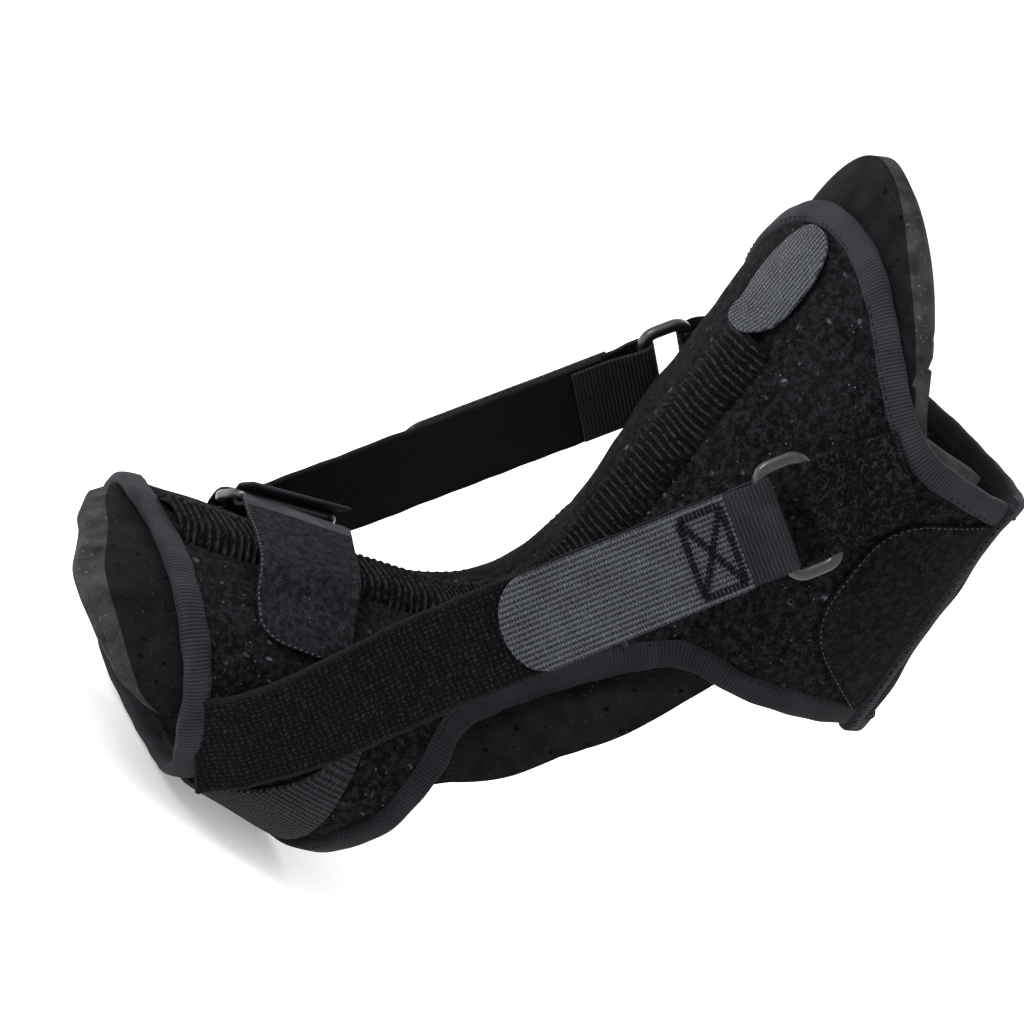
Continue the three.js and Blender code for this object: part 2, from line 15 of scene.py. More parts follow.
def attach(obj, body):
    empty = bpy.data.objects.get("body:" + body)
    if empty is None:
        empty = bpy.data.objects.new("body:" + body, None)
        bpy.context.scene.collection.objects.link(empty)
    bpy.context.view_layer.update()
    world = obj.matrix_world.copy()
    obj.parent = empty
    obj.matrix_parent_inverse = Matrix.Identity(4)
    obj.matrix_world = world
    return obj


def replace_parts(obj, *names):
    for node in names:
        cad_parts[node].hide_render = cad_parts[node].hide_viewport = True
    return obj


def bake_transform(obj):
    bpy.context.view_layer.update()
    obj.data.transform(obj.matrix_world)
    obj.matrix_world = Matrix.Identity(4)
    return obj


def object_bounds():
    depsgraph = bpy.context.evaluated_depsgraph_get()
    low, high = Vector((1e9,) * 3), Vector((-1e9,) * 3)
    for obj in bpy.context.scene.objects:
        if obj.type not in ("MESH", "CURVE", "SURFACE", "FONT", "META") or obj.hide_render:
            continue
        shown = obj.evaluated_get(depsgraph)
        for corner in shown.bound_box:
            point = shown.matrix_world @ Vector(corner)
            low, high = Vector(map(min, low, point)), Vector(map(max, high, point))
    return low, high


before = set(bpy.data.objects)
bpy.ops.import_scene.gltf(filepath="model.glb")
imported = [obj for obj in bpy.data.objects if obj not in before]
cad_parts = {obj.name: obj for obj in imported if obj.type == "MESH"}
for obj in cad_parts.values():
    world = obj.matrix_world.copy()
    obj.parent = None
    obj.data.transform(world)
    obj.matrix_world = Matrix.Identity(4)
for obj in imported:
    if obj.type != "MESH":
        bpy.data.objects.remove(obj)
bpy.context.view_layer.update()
MM = 0.001

# ---------------------------------------------------------------- the limb surface, as in the part
FOOT_ANGLE, SHIN_ANGLE = math.radians(-14), math.radians(89)
INSTEP_CORNER = np.array([39.5, -3.3])
INSTEP_RADIUS = 49.4
TOE_OUT, TOE_OUT_START = math.tan(math.radians(7)), 20
SECTIONS = [  # place u along the front line, half width, depth, squareness
    (-175, 44, 39, 2.6), (-110, 42, 46, 2.5), (-60, 45, 60, 2.3), (-10, 45, 80, 2.2),
    (35, 46, 90, 2.2), (80, 49, 82, 2.3), (130, 51, 76, 2.3), (190, 55, 90, 2.2),
]


def smooth_table(rows):
    """A smooth curve through rows of (place, value, value, ...), as a function of arrays."""
    rows = np.array(rows, float)
    places = rows[:, 0]
    here = np.arange(len(rows))
    before, after = np.maximum(here - 1, 0), np.minimum(here + 1, len(rows) - 1)

    def value(x, column=1):
        x = np.clip(np.asarray(x, float), places[0], places[-1])
        i = np.clip(np.searchsorted(places, x, side="left") - 1, 0, len(rows) - 2)
        slope = (rows[after, column] - rows[before, column]) / (places[after] - places[before])
        h = places[i + 1] - places[i]
        t = (x - places[i]) / h
        a, b = rows[i, column], rows[i + 1, column]
        return ((2 * t**3 - 3 * t**2 + 1) * a + (3 * t**2 - 2 * t**3) * b
                + (t**3 - 2 * t**2 + t) * h * slope[i] + (t**3 - t**2) * h * slope[i + 1])

    return value


section = smooth_table(SECTIONS)
foot_line = np.array([math.cos(FOOT_ANGLE), math.sin(FOOT_ANGLE)])
shin_line = np.array([math.cos(SHIN_ANGLE), math.sin(SHIN_ANGLE)])
instep_turn = math.pi - (SHIN_ANGLE - FOOT_ANGLE)
HALF_ARC = INSTEP_RADIUS * instep_turn / 2
tangent_length = INSTEP_RADIUS * math.tan(instep_turn / 2)
foot_tangent = INSTEP_CORNER + foot_line * tangent_length
shin_tangent = INSTEP_CORNER + shin_line * tangent_length
foot_normal = np.array([-foot_line[1], foot_line[0]])
shin_normal = np.array([shin_line[1], -shin_line[0]])
instep_centre = foot_tangent + foot_normal * INSTEP_RADIUS


def front_line(u):
    """Points and outward normals of the front line, in the (forward, up) plane."""
    u = np.asarray(u, float)[..., None]
    turned = (np.clip(u, -HALF_ARC, HALF_ARC) + HALF_ARC) / INSTEP_RADIUS
    turn = math.atan2(foot_normal[1], foot_normal[0]) - turned
    normal = np.concatenate([np.cos(turn), np.sin(turn)], -1)
    bend = instep_centre - normal * INSTEP_RADIUS
    foot = foot_tangent + foot_line * (-HALF_ARC - u)
    shin = shin_tangent + shin_line * (u - HALF_ARC)
    return np.where(u <= -HALF_ARC, foot, np.where(u >= HALF_ARC, shin, bend)), normal


def signed_power(x, power):
    return np.sign(x) * np.abs(x) ** power


def smoothstep(x, a, b):
    t = np.clip((np.asarray(x, float) - a) / (b - a), 0, 1)
    return t * t * (3 - 2 * t)


def unit(vectors):
    return vectors / np.maximum(np.linalg.norm(vectors, axis=-1, keepdims=True), 1e-9)


def distance_along(points):
    """How far each point is along the line through them all."""
    return np.concatenate([[0], np.cumsum(np.linalg.norm(np.diff(points, axis=0), axis=-1))])


def rows_of(values, columns):
    """A grid whose rows are each one value."""
    return np.asarray(values)[:, None] + np.zeros(columns)


def columns_of(values, rows):
    """A grid whose columns are each one value."""
    return np.asarray(values)[None, :] + np.zeros((rows, 1))


def at_distances(places, distances, points):
    return np.stack([np.interp(places, distances, points[:, k]) for k in range(3)], -1)


def limb(u, v, off):
    """Points at u along the front line, v degrees round towards the inner side, off from the skin."""
    u, v, off = np.broadcast_arrays(*(np.asarray(a, float) for a in (u, v, off)))
    front, normal = front_line(u)
    half, depth, power = section(u, 1), section(u, 2) / 2, 2 / section(u, 3)
    across = (half + off) * signed_power(np.sin(np.radians(v)), power)
    inward = depth - (depth + off) * signed_power(np.cos(np.radians(v)), power)
    p = front - normal * inward[..., None]
    toe_out = TOE_OUT * np.maximum(0, p[..., 0] - TOE_OUT_START)
    return np.stack([across - toe_out, -p[..., 0], p[..., 1]], -1)


def v_across(u, across, off):
    """The v at which the surface is a given distance from the middle line."""
    ratio = np.minimum(np.abs(across) / (section(u, 1) + off), 1)
    return np.sign(across) * np.degrees(np.arcsin(ratio ** (section(u, 3) / 2)))


def drape_on_shin(points, off):
    """Points of the shin moved to a given distance off the skin."""
    forward = -points[..., 1]
    offset = np.stack([forward, points[..., 2]], -1) - shin_tangent
    u = offset @ shin_line + HALF_ARC
    half, depth, power = section(u, 1), section(u, 2) / 2, section(u, 3) / 2
    toe_out = TOE_OUT * np.maximum(0, forward - TOE_OUT_START)
    x = signed_power((points[..., 0] + toe_out) / (half + off), power)
    y = signed_power((offset @ shin_normal + depth) / (depth + off), power)
    return limb(u, np.degrees(np.arctan2(x, y)), off)


# ---------------------------------------------------------------- outlines on the limb
SHELL, LINER = (8.1, 10.9), (0.3, 7.4)
ON_SHELL = 11.7
PLEAT = 2.5                        # pitch of the pleats in the ribbed channel
SHELL_BACK = 112
TOP_SIDE, TOP_RISE, TOP_SPREAD = 127, 39, 80
TOE_SLANT = 5                      # how much further back the toe edge sits on the outer side
NOTCH, LINER_NOTCH = 33.2, 60      # how far round the ankle cut-outs of shell and liner start


def mirrored(rows):
    """A smooth table that is read alike on both sides of the limb."""
    table = smooth_table(rows)
    return lambda v: table(np.abs(v))


heel_edge = mirrored([
    (NOTCH, 0), (34, -8), (38.5, -22), (52, -37), (72, -43), (95, -49), (120, -57), (180, -62),
])
ankle_edge = mirrored([
    (NOTCH, 0), (34, 9), (38, 20), (46, 31), (56, 36), (72, 38), (92, 43), (112, 48),
])
liner_heel = mirrored([(LINER_NOTCH, 0), (61, -7), (68, -20), (76, -34), (86, -46), (100, -56)])
liner_ankle = mirrored([(LINER_NOTCH, 0), (60.5, 16), (63, 28), (69, 38), (80, 46), (96, 51)])
liner_toe = smooth_table([
    (-100, -112), (-75, -124), (-45, -135), (-20, -144.5), (0, -152.5), (15, -157.5),
    (33, -161.5), (50, -160.5), (65, -157), (80, -152), (90, -146), (100, -135),
])


def toe_edge(v):
    outer_side = smoothstep(-v, 8, 50) * (1 - smoothstep(-v, 100, 150))
    return -131 + 28 * ((1 - np.cos(np.radians(v))) / 2) ** 1.5 + TOE_SLANT * outer_side


def top_edge(v):
    return TOP_SIDE + TOP_RISE * np.cos(np.minimum(np.abs(v) / TOP_SPREAD, 1) * math.pi / 2) ** 2


def liner_top(v):
    leaning = v + 8 * np.exp(-((v / 35) ** 2))
    return 133 + 56 * np.cos(np.radians(np.minimum(np.abs(leaning) * 1.25, 89))) ** 1.2


# ---------------------------------------------------------------- materials
def hexcolor(code):
    """Linear colour from a hex code of screen values."""
    values = [int(code[i:i + 2], 16) / 255 for i in (0, 2, 4)]
    return tuple(v / 12.92 if v <= 0.04045 else ((v + 0.055) / 1.055) ** 2.4 for v in values) + (1.0,)


class Nodes:
    """A short way to write a material's node tree."""

    def __init__(self, name):
        self.material = bpy.data.materials.new(name)
        self.material.use_nodes = True
        self.tree = self.material.node_tree
        self.shader = self.tree.nodes["Principled BSDF"]

    def add(self, kind, inputs=None, **settings):
        """A node; its inputs are sockets to link, numbers, or colours as hex codes."""
        node = self.tree.nodes.new("ShaderNode" + kind)
        for key, value in settings.items():
            setattr(node, key, value)
        for key, value in (inputs or {}).items():
            if isinstance(value, bpy.types.NodeSocket):
                self.tree.links.new(value, node.inputs[key])
            else:
                node.inputs[key].default_value = hexcolor(value) if isinstance(value, str) else value
        return node

    def link(self, value, key):
        self.tree.links.new(value, self.shader.inputs[key])

    def math(self, operation, a, b=0.0):
        return self.add("Math", {0: a, 1: b}, operation=operation).outputs[0]

    def times(self, a, b):
        return self.math("MULTIPLY", a, b)

    def plus(self, a, b):
        return self.math("ADD", a, b)

    def sine(self, a):
        return self.math("SINE", a)

    def cells(self, vector, scale, randomness):
        """Distance to the nearest point of a scatter of points."""
        inputs = {"Vector": vector, "Scale": scale, "Randomness": randomness}
        return self.add("TexVoronoi", inputs, feature="F1").outputs["Distance"]

    def curls(self, vector, scale, distortion):
        inputs = {"Vector": vector, "Scale": scale, "Detail": 2.0, "Roughness": 0.6}
        return self.add("TexNoise", {**inputs, "Distortion": distortion}).outputs[0]

    def uv(self, scale=(1, 1, 1)):
        place = self.add("UVMap").outputs[0]
        return self.add("Mapping", {"Vector": place, "Scale": scale}).outputs[0]

    def object_place(self):
        return self.add("TexCoord").outputs["Object"]

    def noise(self, vector, scale, detail=3.0, roughness=0.55):
        inputs = {"Vector": vector, "Scale": scale, "Detail": detail, "Roughness": roughness}
        return self.add("TexNoise", inputs).outputs[0]

    def ramp(self, value, stops):
        node = self.add("ValToRGB", {"Fac": value})
        elements = node.color_ramp.elements
        while len(elements) < len(stops):
            elements.new(0.5)
        for element, (place, color) in zip(elements, stops):
            element.position = place
            element.color = hexcolor(color) if isinstance(color, str) else (color, color, color, 1)
        return node.outputs[0]

    def mix(self, factor, a, b):
        return self.add("Mix", {0: factor, 6: a, 7: b}, data_type="RGBA").outputs[2]

    def bump(self, height, strength, distance):
        bump = self.add("Bump", {"Height": height, "Strength": strength, "Distance": distance})
        self.link(bump.outputs[0], "Normal")

    def finish(self, roughness=None, sheen=0.0, specular=0.5, metallic=0.0):
        inputs = self.shader.inputs
        if roughness is not None:
            inputs["Roughness"].default_value = roughness
        inputs["Sheen Weight"].default_value = sheen
        inputs["Sheen Roughness"].default_value = 0.5
        inputs["Specular IOR Level"].default_value = specular
        inputs["Metallic"].default_value = metallic
        return self.material


def brushed_fabric(name, dark, light, lint, specks, dimples=0.0):
    """Brushed loop cloth: a fuzzy nap, soft worn patches, fine lint, and dimples over the foam."""
    n = Nodes(name)
    place = n.object_place()
    nap = n.noise(place, 1500, 4, 0.7)
    clumps = n.noise(place, 430, 3, 0.65)
    patches = n.noise(place, 75, 4, 0.6)
    color = n.mix(n.ramp(clumps, [(0.38, 0.0), (0.68, 1.0)]), dark, light)
    tufts = n.ramp(n.times(nap, clumps), [(0.22, 0.0), (0.42, 0.9)])
    color = n.mix(tufts, color, lint)
    color = n.mix(n.ramp(patches, [(0.45, 0.0), (0.75, 0.2)]), color, lint)
    flecks = n.ramp(n.cells(place, 420, 1.0), [(0.0, 1.0), (0.16, 0.0)])
    fleck = n.times(flecks, n.ramp(n.noise(place, 160, 1), [(0.5, 0.0), (0.65, specks)]))
    color = n.mix(fleck, color, "8a8a90")
    fuzz = n.plus(n.times(nap, 0.5), n.times(clumps, 1.3))
    height = n.plus(fuzz, n.times(patches, 0.5))
    if dimples:     # the foam's rows of holes show as small worn dimples in the nap
        dot = n.ramp(n.cells(n.uv(), 135, 0.3), [(0.05, 1.0), (0.17, 0.0)])
        ragged = n.ramp(n.noise(place, 900, 3), [(0.42, 0.0), (0.62, 1.0)])
        worn = n.ramp(patches, [(0.4, 0.0), (0.62, dimples)])
        shown = n.times(n.times(dot, ragged), worn)
        color = n.mix(shown, color, "6a6b71")
        height = n.math("SUBTRACT", height, n.times(dot, 0.7))
    n.link(color, "Base Color")
    n.bump(height, 0.8, 0.0009)
    return n.finish(roughness=0.95, sheen=0.015, specular=0.02)


def loop_pile(name, dark, light, pitch):
    """Curly loop pile: small tangled loops with painted highlights, near black between them."""
    n = Nodes(name)
    place = n.uv()
    loops = n.ramp(n.curls(place, 1 / pitch, 1.4), [(0.46, 0.0), (0.62, 1.0)])
    fine = n.noise(place, 2.6 / pitch, 2)
    # painted highlights: the loops are coloured light over the black pile
    color = n.mix(n.times(loops, fine), dark, light)
    n.link(color, "Base Color")
    n.bump(n.plus(loops, n.times(fine, 0.5)), 1.0, 0.0012)
    return n.finish(roughness=0.65, sheen=0.006, specular=0.045)


def gathered_loops(name, dark, light, pitch):
    """Gathered loop webbing: ragged ridges with painted highlights, and painted shade that blackens the
    gaps between the pleats.
    """
    n = Nodes(name)
    place = n.uv()
    split = n.add("SeparateXYZ", {0: place})
    rib = n.sine(n.times(split.outputs[1], math.tau / pitch))
    # painted light and shade: the pleat ridges are coloured light and the gaps between them near black, in
    # step with the channel's pleats
    pleat_light_and_shade = n.ramp(rib, [(0.0, 0.15), (0.75, 1.0)])
    curl = n.curls(place, 700, 1.2)
    ragged = n.ramp(curl, [(0.4, 0.0), (0.62, 1.0)])
    n.link(n.mix(n.times(pleat_light_and_shade, ragged), dark, light), "Base Color")
    n.bump(curl, 0.8, 0.0004)
    return n.finish(roughness=0.7, sheen=0.006, specular=0.04)


def knit_loops(name, dark, light, across, along):
    """Loop webbing: columns of small knitted loops down the band."""
    n = Nodes(name)
    place = n.uv()
    split = n.add("SeparateXYZ", {0: place})
    drift = n.times(n.noise(place, 380, 4), 11.0)
    column = n.sine(n.plus(n.times(split.outputs[0], math.tau / across), drift))
    row = n.sine(n.plus(n.times(split.outputs[1], math.tau / along), drift))
    loop = n.times(n.plus(column, 1.0), n.plus(row, 1.0))
    fine = n.noise(place, 1500, 3)
    clumps = n.ramp(n.noise(place, 260, 3), [(0.35, 0.35), (0.65, 1.0)])
    shade = n.times(n.times(loop, clumps), n.times(fine, 0.5))
    n.link(n.ramp(shade, [(0.05, dark), (0.85, light)]), "Base Color")
    n.bump(n.plus(n.times(loop, 0.4), fine), 0.9, 0.0006)
    return n.finish(roughness=0.7, sheen=0.006, specular=0.045)


def hook_tape(name, dark, light, pitch, specular):
    """The back of moulded hook tape: a close weave of small shiny knuckles in diagonal rows."""
    n = Nodes(name)
    place = n.uv()
    split = n.add("SeparateXYZ", {0: place})
    across = n.times(split.outputs[0], math.tau / pitch)
    along = n.times(split.outputs[1], math.tau / (pitch * 0.62))
    drift = n.times(n.noise(place, 560, 3), 8.0)
    steep = n.plus(n.times(across, 0.45), along)
    first = n.sine(n.plus(n.plus(across, along), drift))
    second = n.sine(n.math("SUBTRACT", n.math("SUBTRACT", across, steep), drift))
    knuckle = n.times(first, second)
    worn = n.noise(place, 90, 3)
    grain = n.noise(place, 1300, 2)
    uneven = n.times(n.plus(worn, grain), 0.4)
    shade = n.plus(n.times(knuckle, 0.5), uneven)
    n.link(n.ramp(shade, [(0.05, dark), (0.95, light)]), "Base Color")
    n.link(n.ramp(knuckle, [(0.0, 0.75), (1.0, 0.45)]), "Roughness")
    n.bump(knuckle, 0.7, 0.0004)
    return n.finish(sheen=0.01, specular=specular)


def ribbed_tape(name, dark, light, pitch, strength):
    """Binding and webbing: fine cords across the band, with a slightly worn crown."""
    n = Nodes(name)
    place = n.uv()
    split = n.add("SeparateXYZ", {0: place})
    drift = n.times(n.noise(place, 300, 2), 1.6)
    rib = n.sine(n.plus(n.times(split.outputs[1], math.tau / pitch), drift))
    worn = n.noise(place, 60, 3)
    shade = n.plus(n.times(rib, 0.22), worn)
    n.link(n.ramp(shade, [(0.25, dark), (0.85, light)]), "Base Color")
    n.bump(n.plus(rib, n.times(n.noise(place, 1400, 2), 0.8)), strength, 0.0003)
    return n.finish(roughness=0.82, sheen=0.015, specular=0.1)


def foam(name, face, cell, pitch=900.0, specks=0.12, holes=False):
    """Closed-cell foam: fine open cells on a cut face, and rows of punched holes with painted shade inside
    them.
    """
    n = Nodes(name)
    place = n.object_place()
    cells = n.cells(place, pitch, 1.0)
    cloud = n.noise(place, 120, 4)
    speck = n.noise(place, 900, 2)
    color = n.mix(n.ramp(cloud, [(0.3, 0.0), (0.75, 1.0)]), face, cell)
    color = n.mix(n.ramp(speck, [(0.66, 0.0), (0.76, specks)]), color, "77767a")
    height = n.plus(cells, n.times(cloud, 0.5))
    if holes:
        hole_shade = n.ramp(n.cells(n.uv(), 115, 0.12), [(0.07, 1.0), (0.1, 0.0)])
        # painted shade: the punched holes are coloured near black for the shade inside them
        color = n.mix(hole_shade, color, "020203")
        height = n.math("SUBTRACT", height, n.times(hole_shade, 3.0))
    n.link(color, "Base Color")
    n.bump(height, 0.6, 0.0005)
    return n.finish(roughness=0.88, sheen=0.005, specular=0.05)


def thread(name, color):
    """Twisted sewing thread, a little darker here and there."""
    n = Nodes(name)
    n.link(n.mix(n.noise(n.object_place(), 1800, 2), color, "05060a"), "Base Color")
    return n.finish(roughness=0.7, specular=0.1)


def smoky_plastic(name):
    n = Nodes(name)
    cloud = n.noise(n.object_place(), 260, 3)
    n.link(n.mix(cloud, "0d0f10", "1c2121"), "Base Color")
    n.link(n.ramp(cloud, [(0.3, 0.28), (0.8, 0.42)]), "Roughness")
    n.bump(n.noise(n.object_place(), 700, 2), 0.12, 0.0002)
    n.shader.inputs["Coat Weight"].default_value = 0.12
    n.shader.inputs["Coat Roughness"].default_value = 0.2
    return n.finish(specular=0.5)


def brushed_aluminium(name):
    n = Nodes(name)
    grain = n.noise(n.uv((1, 0.05, 1)), 900, 3)
    n.link(n.mix(grain, "8d9093", "c3c6ca"), "Base Color")
    n.link(n.ramp(grain, [(0.2, 0.3), (0.8, 0.5)]), "Roughness")
    return n.finish(metallic=1.0)


SHELL_CLOTH = brushed_fabric("shell_cloth", "050506", "0e0f11", "232427", specks=0.6, dimples=0.9)
LINING_CLOTH = brushed_fabric("lining_cloth", "0e0f11", "17181b", "232428", specks=0.1)
TAB_CLOTH = brushed_fabric("tab_cloth", "0e0f11", "1b1c1f", "2a2b2f", specks=0.35)
CALF_CLOTH = brushed_fabric("calf_cloth", "060607", "0f1012", "1c1d20", specks=0.2)
LOOP_CLOTH = knit_loops("loop_webbing", "050506", "222328", 0.0015, 0.0019)
COARSE_LOOP = loop_pile("coarse_loop", "020202", "2f2f34", 0.0019)
CHANNEL_LOOP = gathered_loops("channel_loops", "020203", "25262a", PLEAT * MM)
STRAP_BACK = ribbed_tape("strap_back", "08080b", "101115", 0.0009, 0.35)
BINDING = ribbed_tape("binding", "131417", "2c2d32", 0.0011, 0.32)
ANKLE_BINDING = ribbed_tape("ankle_binding", "0e0f11", "212227", 0.0011, 0.32)
WEBBING = ribbed_tape("webbing", "131417", "2a2b30", 0.0013, 0.8)
CREASE_BAND = ribbed_tape("crease_band", "1c1d20", "50525a", 0.0016, 0.9)
GREY_HOOK = hook_tape("grey_hook", "090a0d", "575962", 0.0026, 0.14)
DARK_HOOK = hook_tape("dark_hook", "030304", "2e2f34", 0.0034, 0.1)
FOAM_FACE = foam("foam_face", "0a0a0c", "17181a", holes=True)
FOAM_EDGE = foam("foam_edge", "1a1a1b", "3b3a3a", 700.0, 0.6)
NAVY_THREAD = thread("navy_thread", "020308")
PALE_THREAD = thread("pale_thread", "5a5b61")
DARK_THREAD = thread("dark_thread", "17181b")
PLASTIC = smoky_plastic("smoky_plastic")
ALUMINIUM = brushed_aluminium("stay_metal")


# ---------------------------------------------------------------- mesh building
def make_object(name, vertices, faces, materials, uv=None, slots=None):
    """A mesh piece from millimetre points; uv is one (across, along) per vertex, in millimetres."""
    mesh = bpy.data.meshes.new(name)
    mesh.from_pydata((np.asarray(vertices) * MM).tolist(), [], faces)
    obj = bpy.data.objects.new(name, mesh)
    bpy.context.scene.collection.objects.link(obj)
    for material in materials:
        mesh.materials.append(material)
    if uv is not None:
        layer = mesh.uv_layers.new(name="UVMap")
        corner = np.zeros(len(mesh.loops), int)
        mesh.loops.foreach_get("vertex_index", corner)
        layer.data.foreach_set("uv", (np.asarray(uv)[corner] * MM).ravel())
    if slots is not None:
        mesh.polygons.foreach_set("material_index", slots)
    mesh.polygons.foreach_set("use_smooth", [True] * len(mesh.polygons))
    mesh.update()
    return obj


def sheet_parts(outer, inner, uv, skip_first=None, skip_last=None):
    """Points, uv, quads and slots of a thick sheet. Slots: 0 outside, 1 inside, 2 cut edge.
    skip_first and skip_last say which steps of the first and last row have no edge of their own."""
    rows, columns = outer.shape[:2]
    count = rows * columns
    index = np.arange(count).reshape(rows, columns)
    a, b, c, d = index[:-1, :-1], index[:-1, 1:], index[1:, 1:], index[1:, :-1]
    front = np.stack([a, b, c, d], -1).reshape(-1, 4)
    rims = [
        (index[0, 1:], index[0, :-1], skip_first), (index[-1, :-1], index[-1, 1:], skip_last),
        (index[:-1, 0], index[1:, 0], None), (index[1:, -1], index[:-1, -1], None),
    ]
    start = np.concatenate([one if skip is None else one[~skip] for one, _, skip in rims])
    stop = np.concatenate([two if skip is None else two[~skip] for _, two, skip in rims])
    edge, place = np.unique(np.concatenate([start, stop]), return_inverse=True)
    middle_start, middle_stop = 2 * count + place[:len(start)], 2 * count + place[len(start):]
    rim = np.concatenate([
        np.stack([start, stop, middle_stop, middle_start], -1),
        np.stack([middle_start, middle_stop, count + stop, count + start], -1),
    ])
    quads = np.concatenate([front, count + front[:, ::-1], rim])
    slots = np.repeat([0, 1, 2], [len(front), len(front), len(rim)])
    flat_outer, flat_inner, flat_uv = outer.reshape(-1, 3), inner.reshape(-1, 3), uv.reshape(-1, 2)
    round_edge = (flat_outer[edge] + flat_inner[edge]) / 2 + edge_bulge(outer, inner)[edge]
    points = np.concatenate([flat_outer, flat_inner, round_edge])
    return points, np.concatenate([flat_uv, flat_uv, flat_uv[edge]]), quads, slots


def edge_bulge(outer, inner):
    """Push of each point away from the sheet: 0.3 of its thickness at the edges, nought elsewhere."""
    middle = (outer + inner) / 2
    thickness = np.linalg.norm(outer - inner, axis=-1)
    push = np.zeros_like(middle)
    row_ends = ((np.s_[0], np.s_[1]), (np.s_[-1], np.s_[-2]))
    column_ends = ((np.s_[:, 0], np.s_[:, 1]), (np.s_[:, -1], np.s_[:, -2]))
    for edge, inside in row_ends + column_ends:
        away = middle[edge] - middle[inside]
        push[edge] += away / np.maximum(np.linalg.norm(away, axis=-1, keepdims=True), 1e-6)
    return (push * thickness[..., None] * 0.3).reshape(-1, 3)


def sheet_object(name, parts, materials):
    """One object from one or more sheets, welded where they meet. Materials: outside, inside, cut edge."""
    points, uvs, quads, slots, base = [], [], [], [], 0
    for p, uv, q, s in parts:
        points.append(p)
        uvs.append(uv)
        quads.append(q + base)
        slots.append(s)
        base += len(p)
    quads, slots = np.concatenate(quads), np.concatenate(slots)
    obj = make_object(name, np.concatenate(points), quads.tolist(), materials, np.concatenate(uvs), slots)
    recalculate_normals(obj, weld=len(parts) > 1)
    return obj


def sheet(name, outer, inner, materials, uv):
    return sheet_object(name, [sheet_parts(outer, inner, uv)], materials)


def recalculate_normals(obj, weld=False):
    """Turns every face outwards, after welding points that lie in one place."""
    mesh = bmesh.new()
    mesh.from_mesh(obj.data)
    if weld:
        bmesh.ops.remove_doubles(mesh, verts=mesh.verts, dist=1e-6)
    bmesh.ops.recalc_face_normals(mesh, faces=mesh.faces)
    mesh.to_mesh(obj.data)
    mesh.free()


def lengths(points):
    """Millimetre coordinates over a grid of points, from the spacing along its middle row and column."""
    rows, columns = points.shape[:2]
    x = columns_of(distance_along(points[rows // 2]), rows)
    return np.stack([x, rows_of(distance_along(points[:, columns // 2]), columns)], -1)


def soft_noise(u, v, scale, seed, octaves):
    """Smooth wrinkle field over the limb, from a few fixed waves."""
    waves = np.random.default_rng(seed)
    total = np.zeros(np.broadcast(u, v).shape)
    for octave in range(octaves):
        for _ in range(5):
            angle, phase = waves.uniform(0, math.tau, 2)
            k = (2**octave) / scale * waves.uniform(0.7, 1.3)
            total += np.sin(k * (u * math.cos(angle) + v * math.sin(angle)) + phase) / (2**octave)
    return total / 5


TUBE_GIRTH = 2.2                   # way round a flat tape, in widths


def tube(name, points, normals, width, thickness, material, sides, closed=False, squash_power=2.4,
         ripple=None):
    """A rounded tape along points, with its flat side facing along the normals."""
    points, normals = np.asarray(points, float), np.asarray(normals, float)
    if closed:
        along = np.roll(points, -1, 0) - np.roll(points, 1, 0)
    else:
        along = np.gradient(points, axis=0)
    along = unit(along)
    normals = unit(normals - along * np.sum(along * normals, -1, keepdims=True))
    across = np.cross(along, normals)
    angles = np.linspace(0, math.tau, sides, endpoint=False)
    power = 2 / squash_power
    c, s = signed_power(np.cos(angles), power), signed_power(np.sin(angles), power)
    width = np.broadcast_to(width, len(points))[:, None, None]
    thickness = np.broadcast_to(thickness, len(points))[:, None, None]
    swell = 1.0 if ripple is None else (1 + ripple)[:, None, None]
    rings = (points[:, None] + across[:, None] * (c[None, :, None] * width / 2) * swell
             + normals[:, None] * (s[None, :, None] * thickness / 2) * swell)
    count = len(points)
    index = np.arange(count * sides).reshape(count, sides)
    steps = count if closed else count - 1
    beside, ahead = np.roll(index, -1, 1), np.roll(index, -1, 0)
    both = np.roll(beside, -1, 0)
    faces = np.stack([index, beside, both, ahead], -1)[:steps].reshape(-1, 4).tolist()
    vertices = rings.reshape(-1, 3)
    travelled = distance_along(points)
    girth = angles / math.tau * float(np.max(width)) * TUBE_GIRTH
    uv = np.stack(np.broadcast_arrays(girth[None, :], travelled[:, None]), -1).reshape(-1, 2)
    if not closed:
        for end, order in ((0, -1), (count - 1, 1)):
            crown = points[end] + along[end] * order * float(thickness[end, 0, 0]) * 0.25
            vertices = np.concatenate([vertices, crown[None]])
            uv = np.concatenate([uv, uv[end * sides][None]])
            tip = len(vertices) - 1
            for pair in zip(index[end].tolist(), beside[end].tolist()):
                faces.append((*pair[::order], tip))
    obj = make_object(name, vertices, faces, [material], uv)
    recalculate_normals(obj)
    return obj


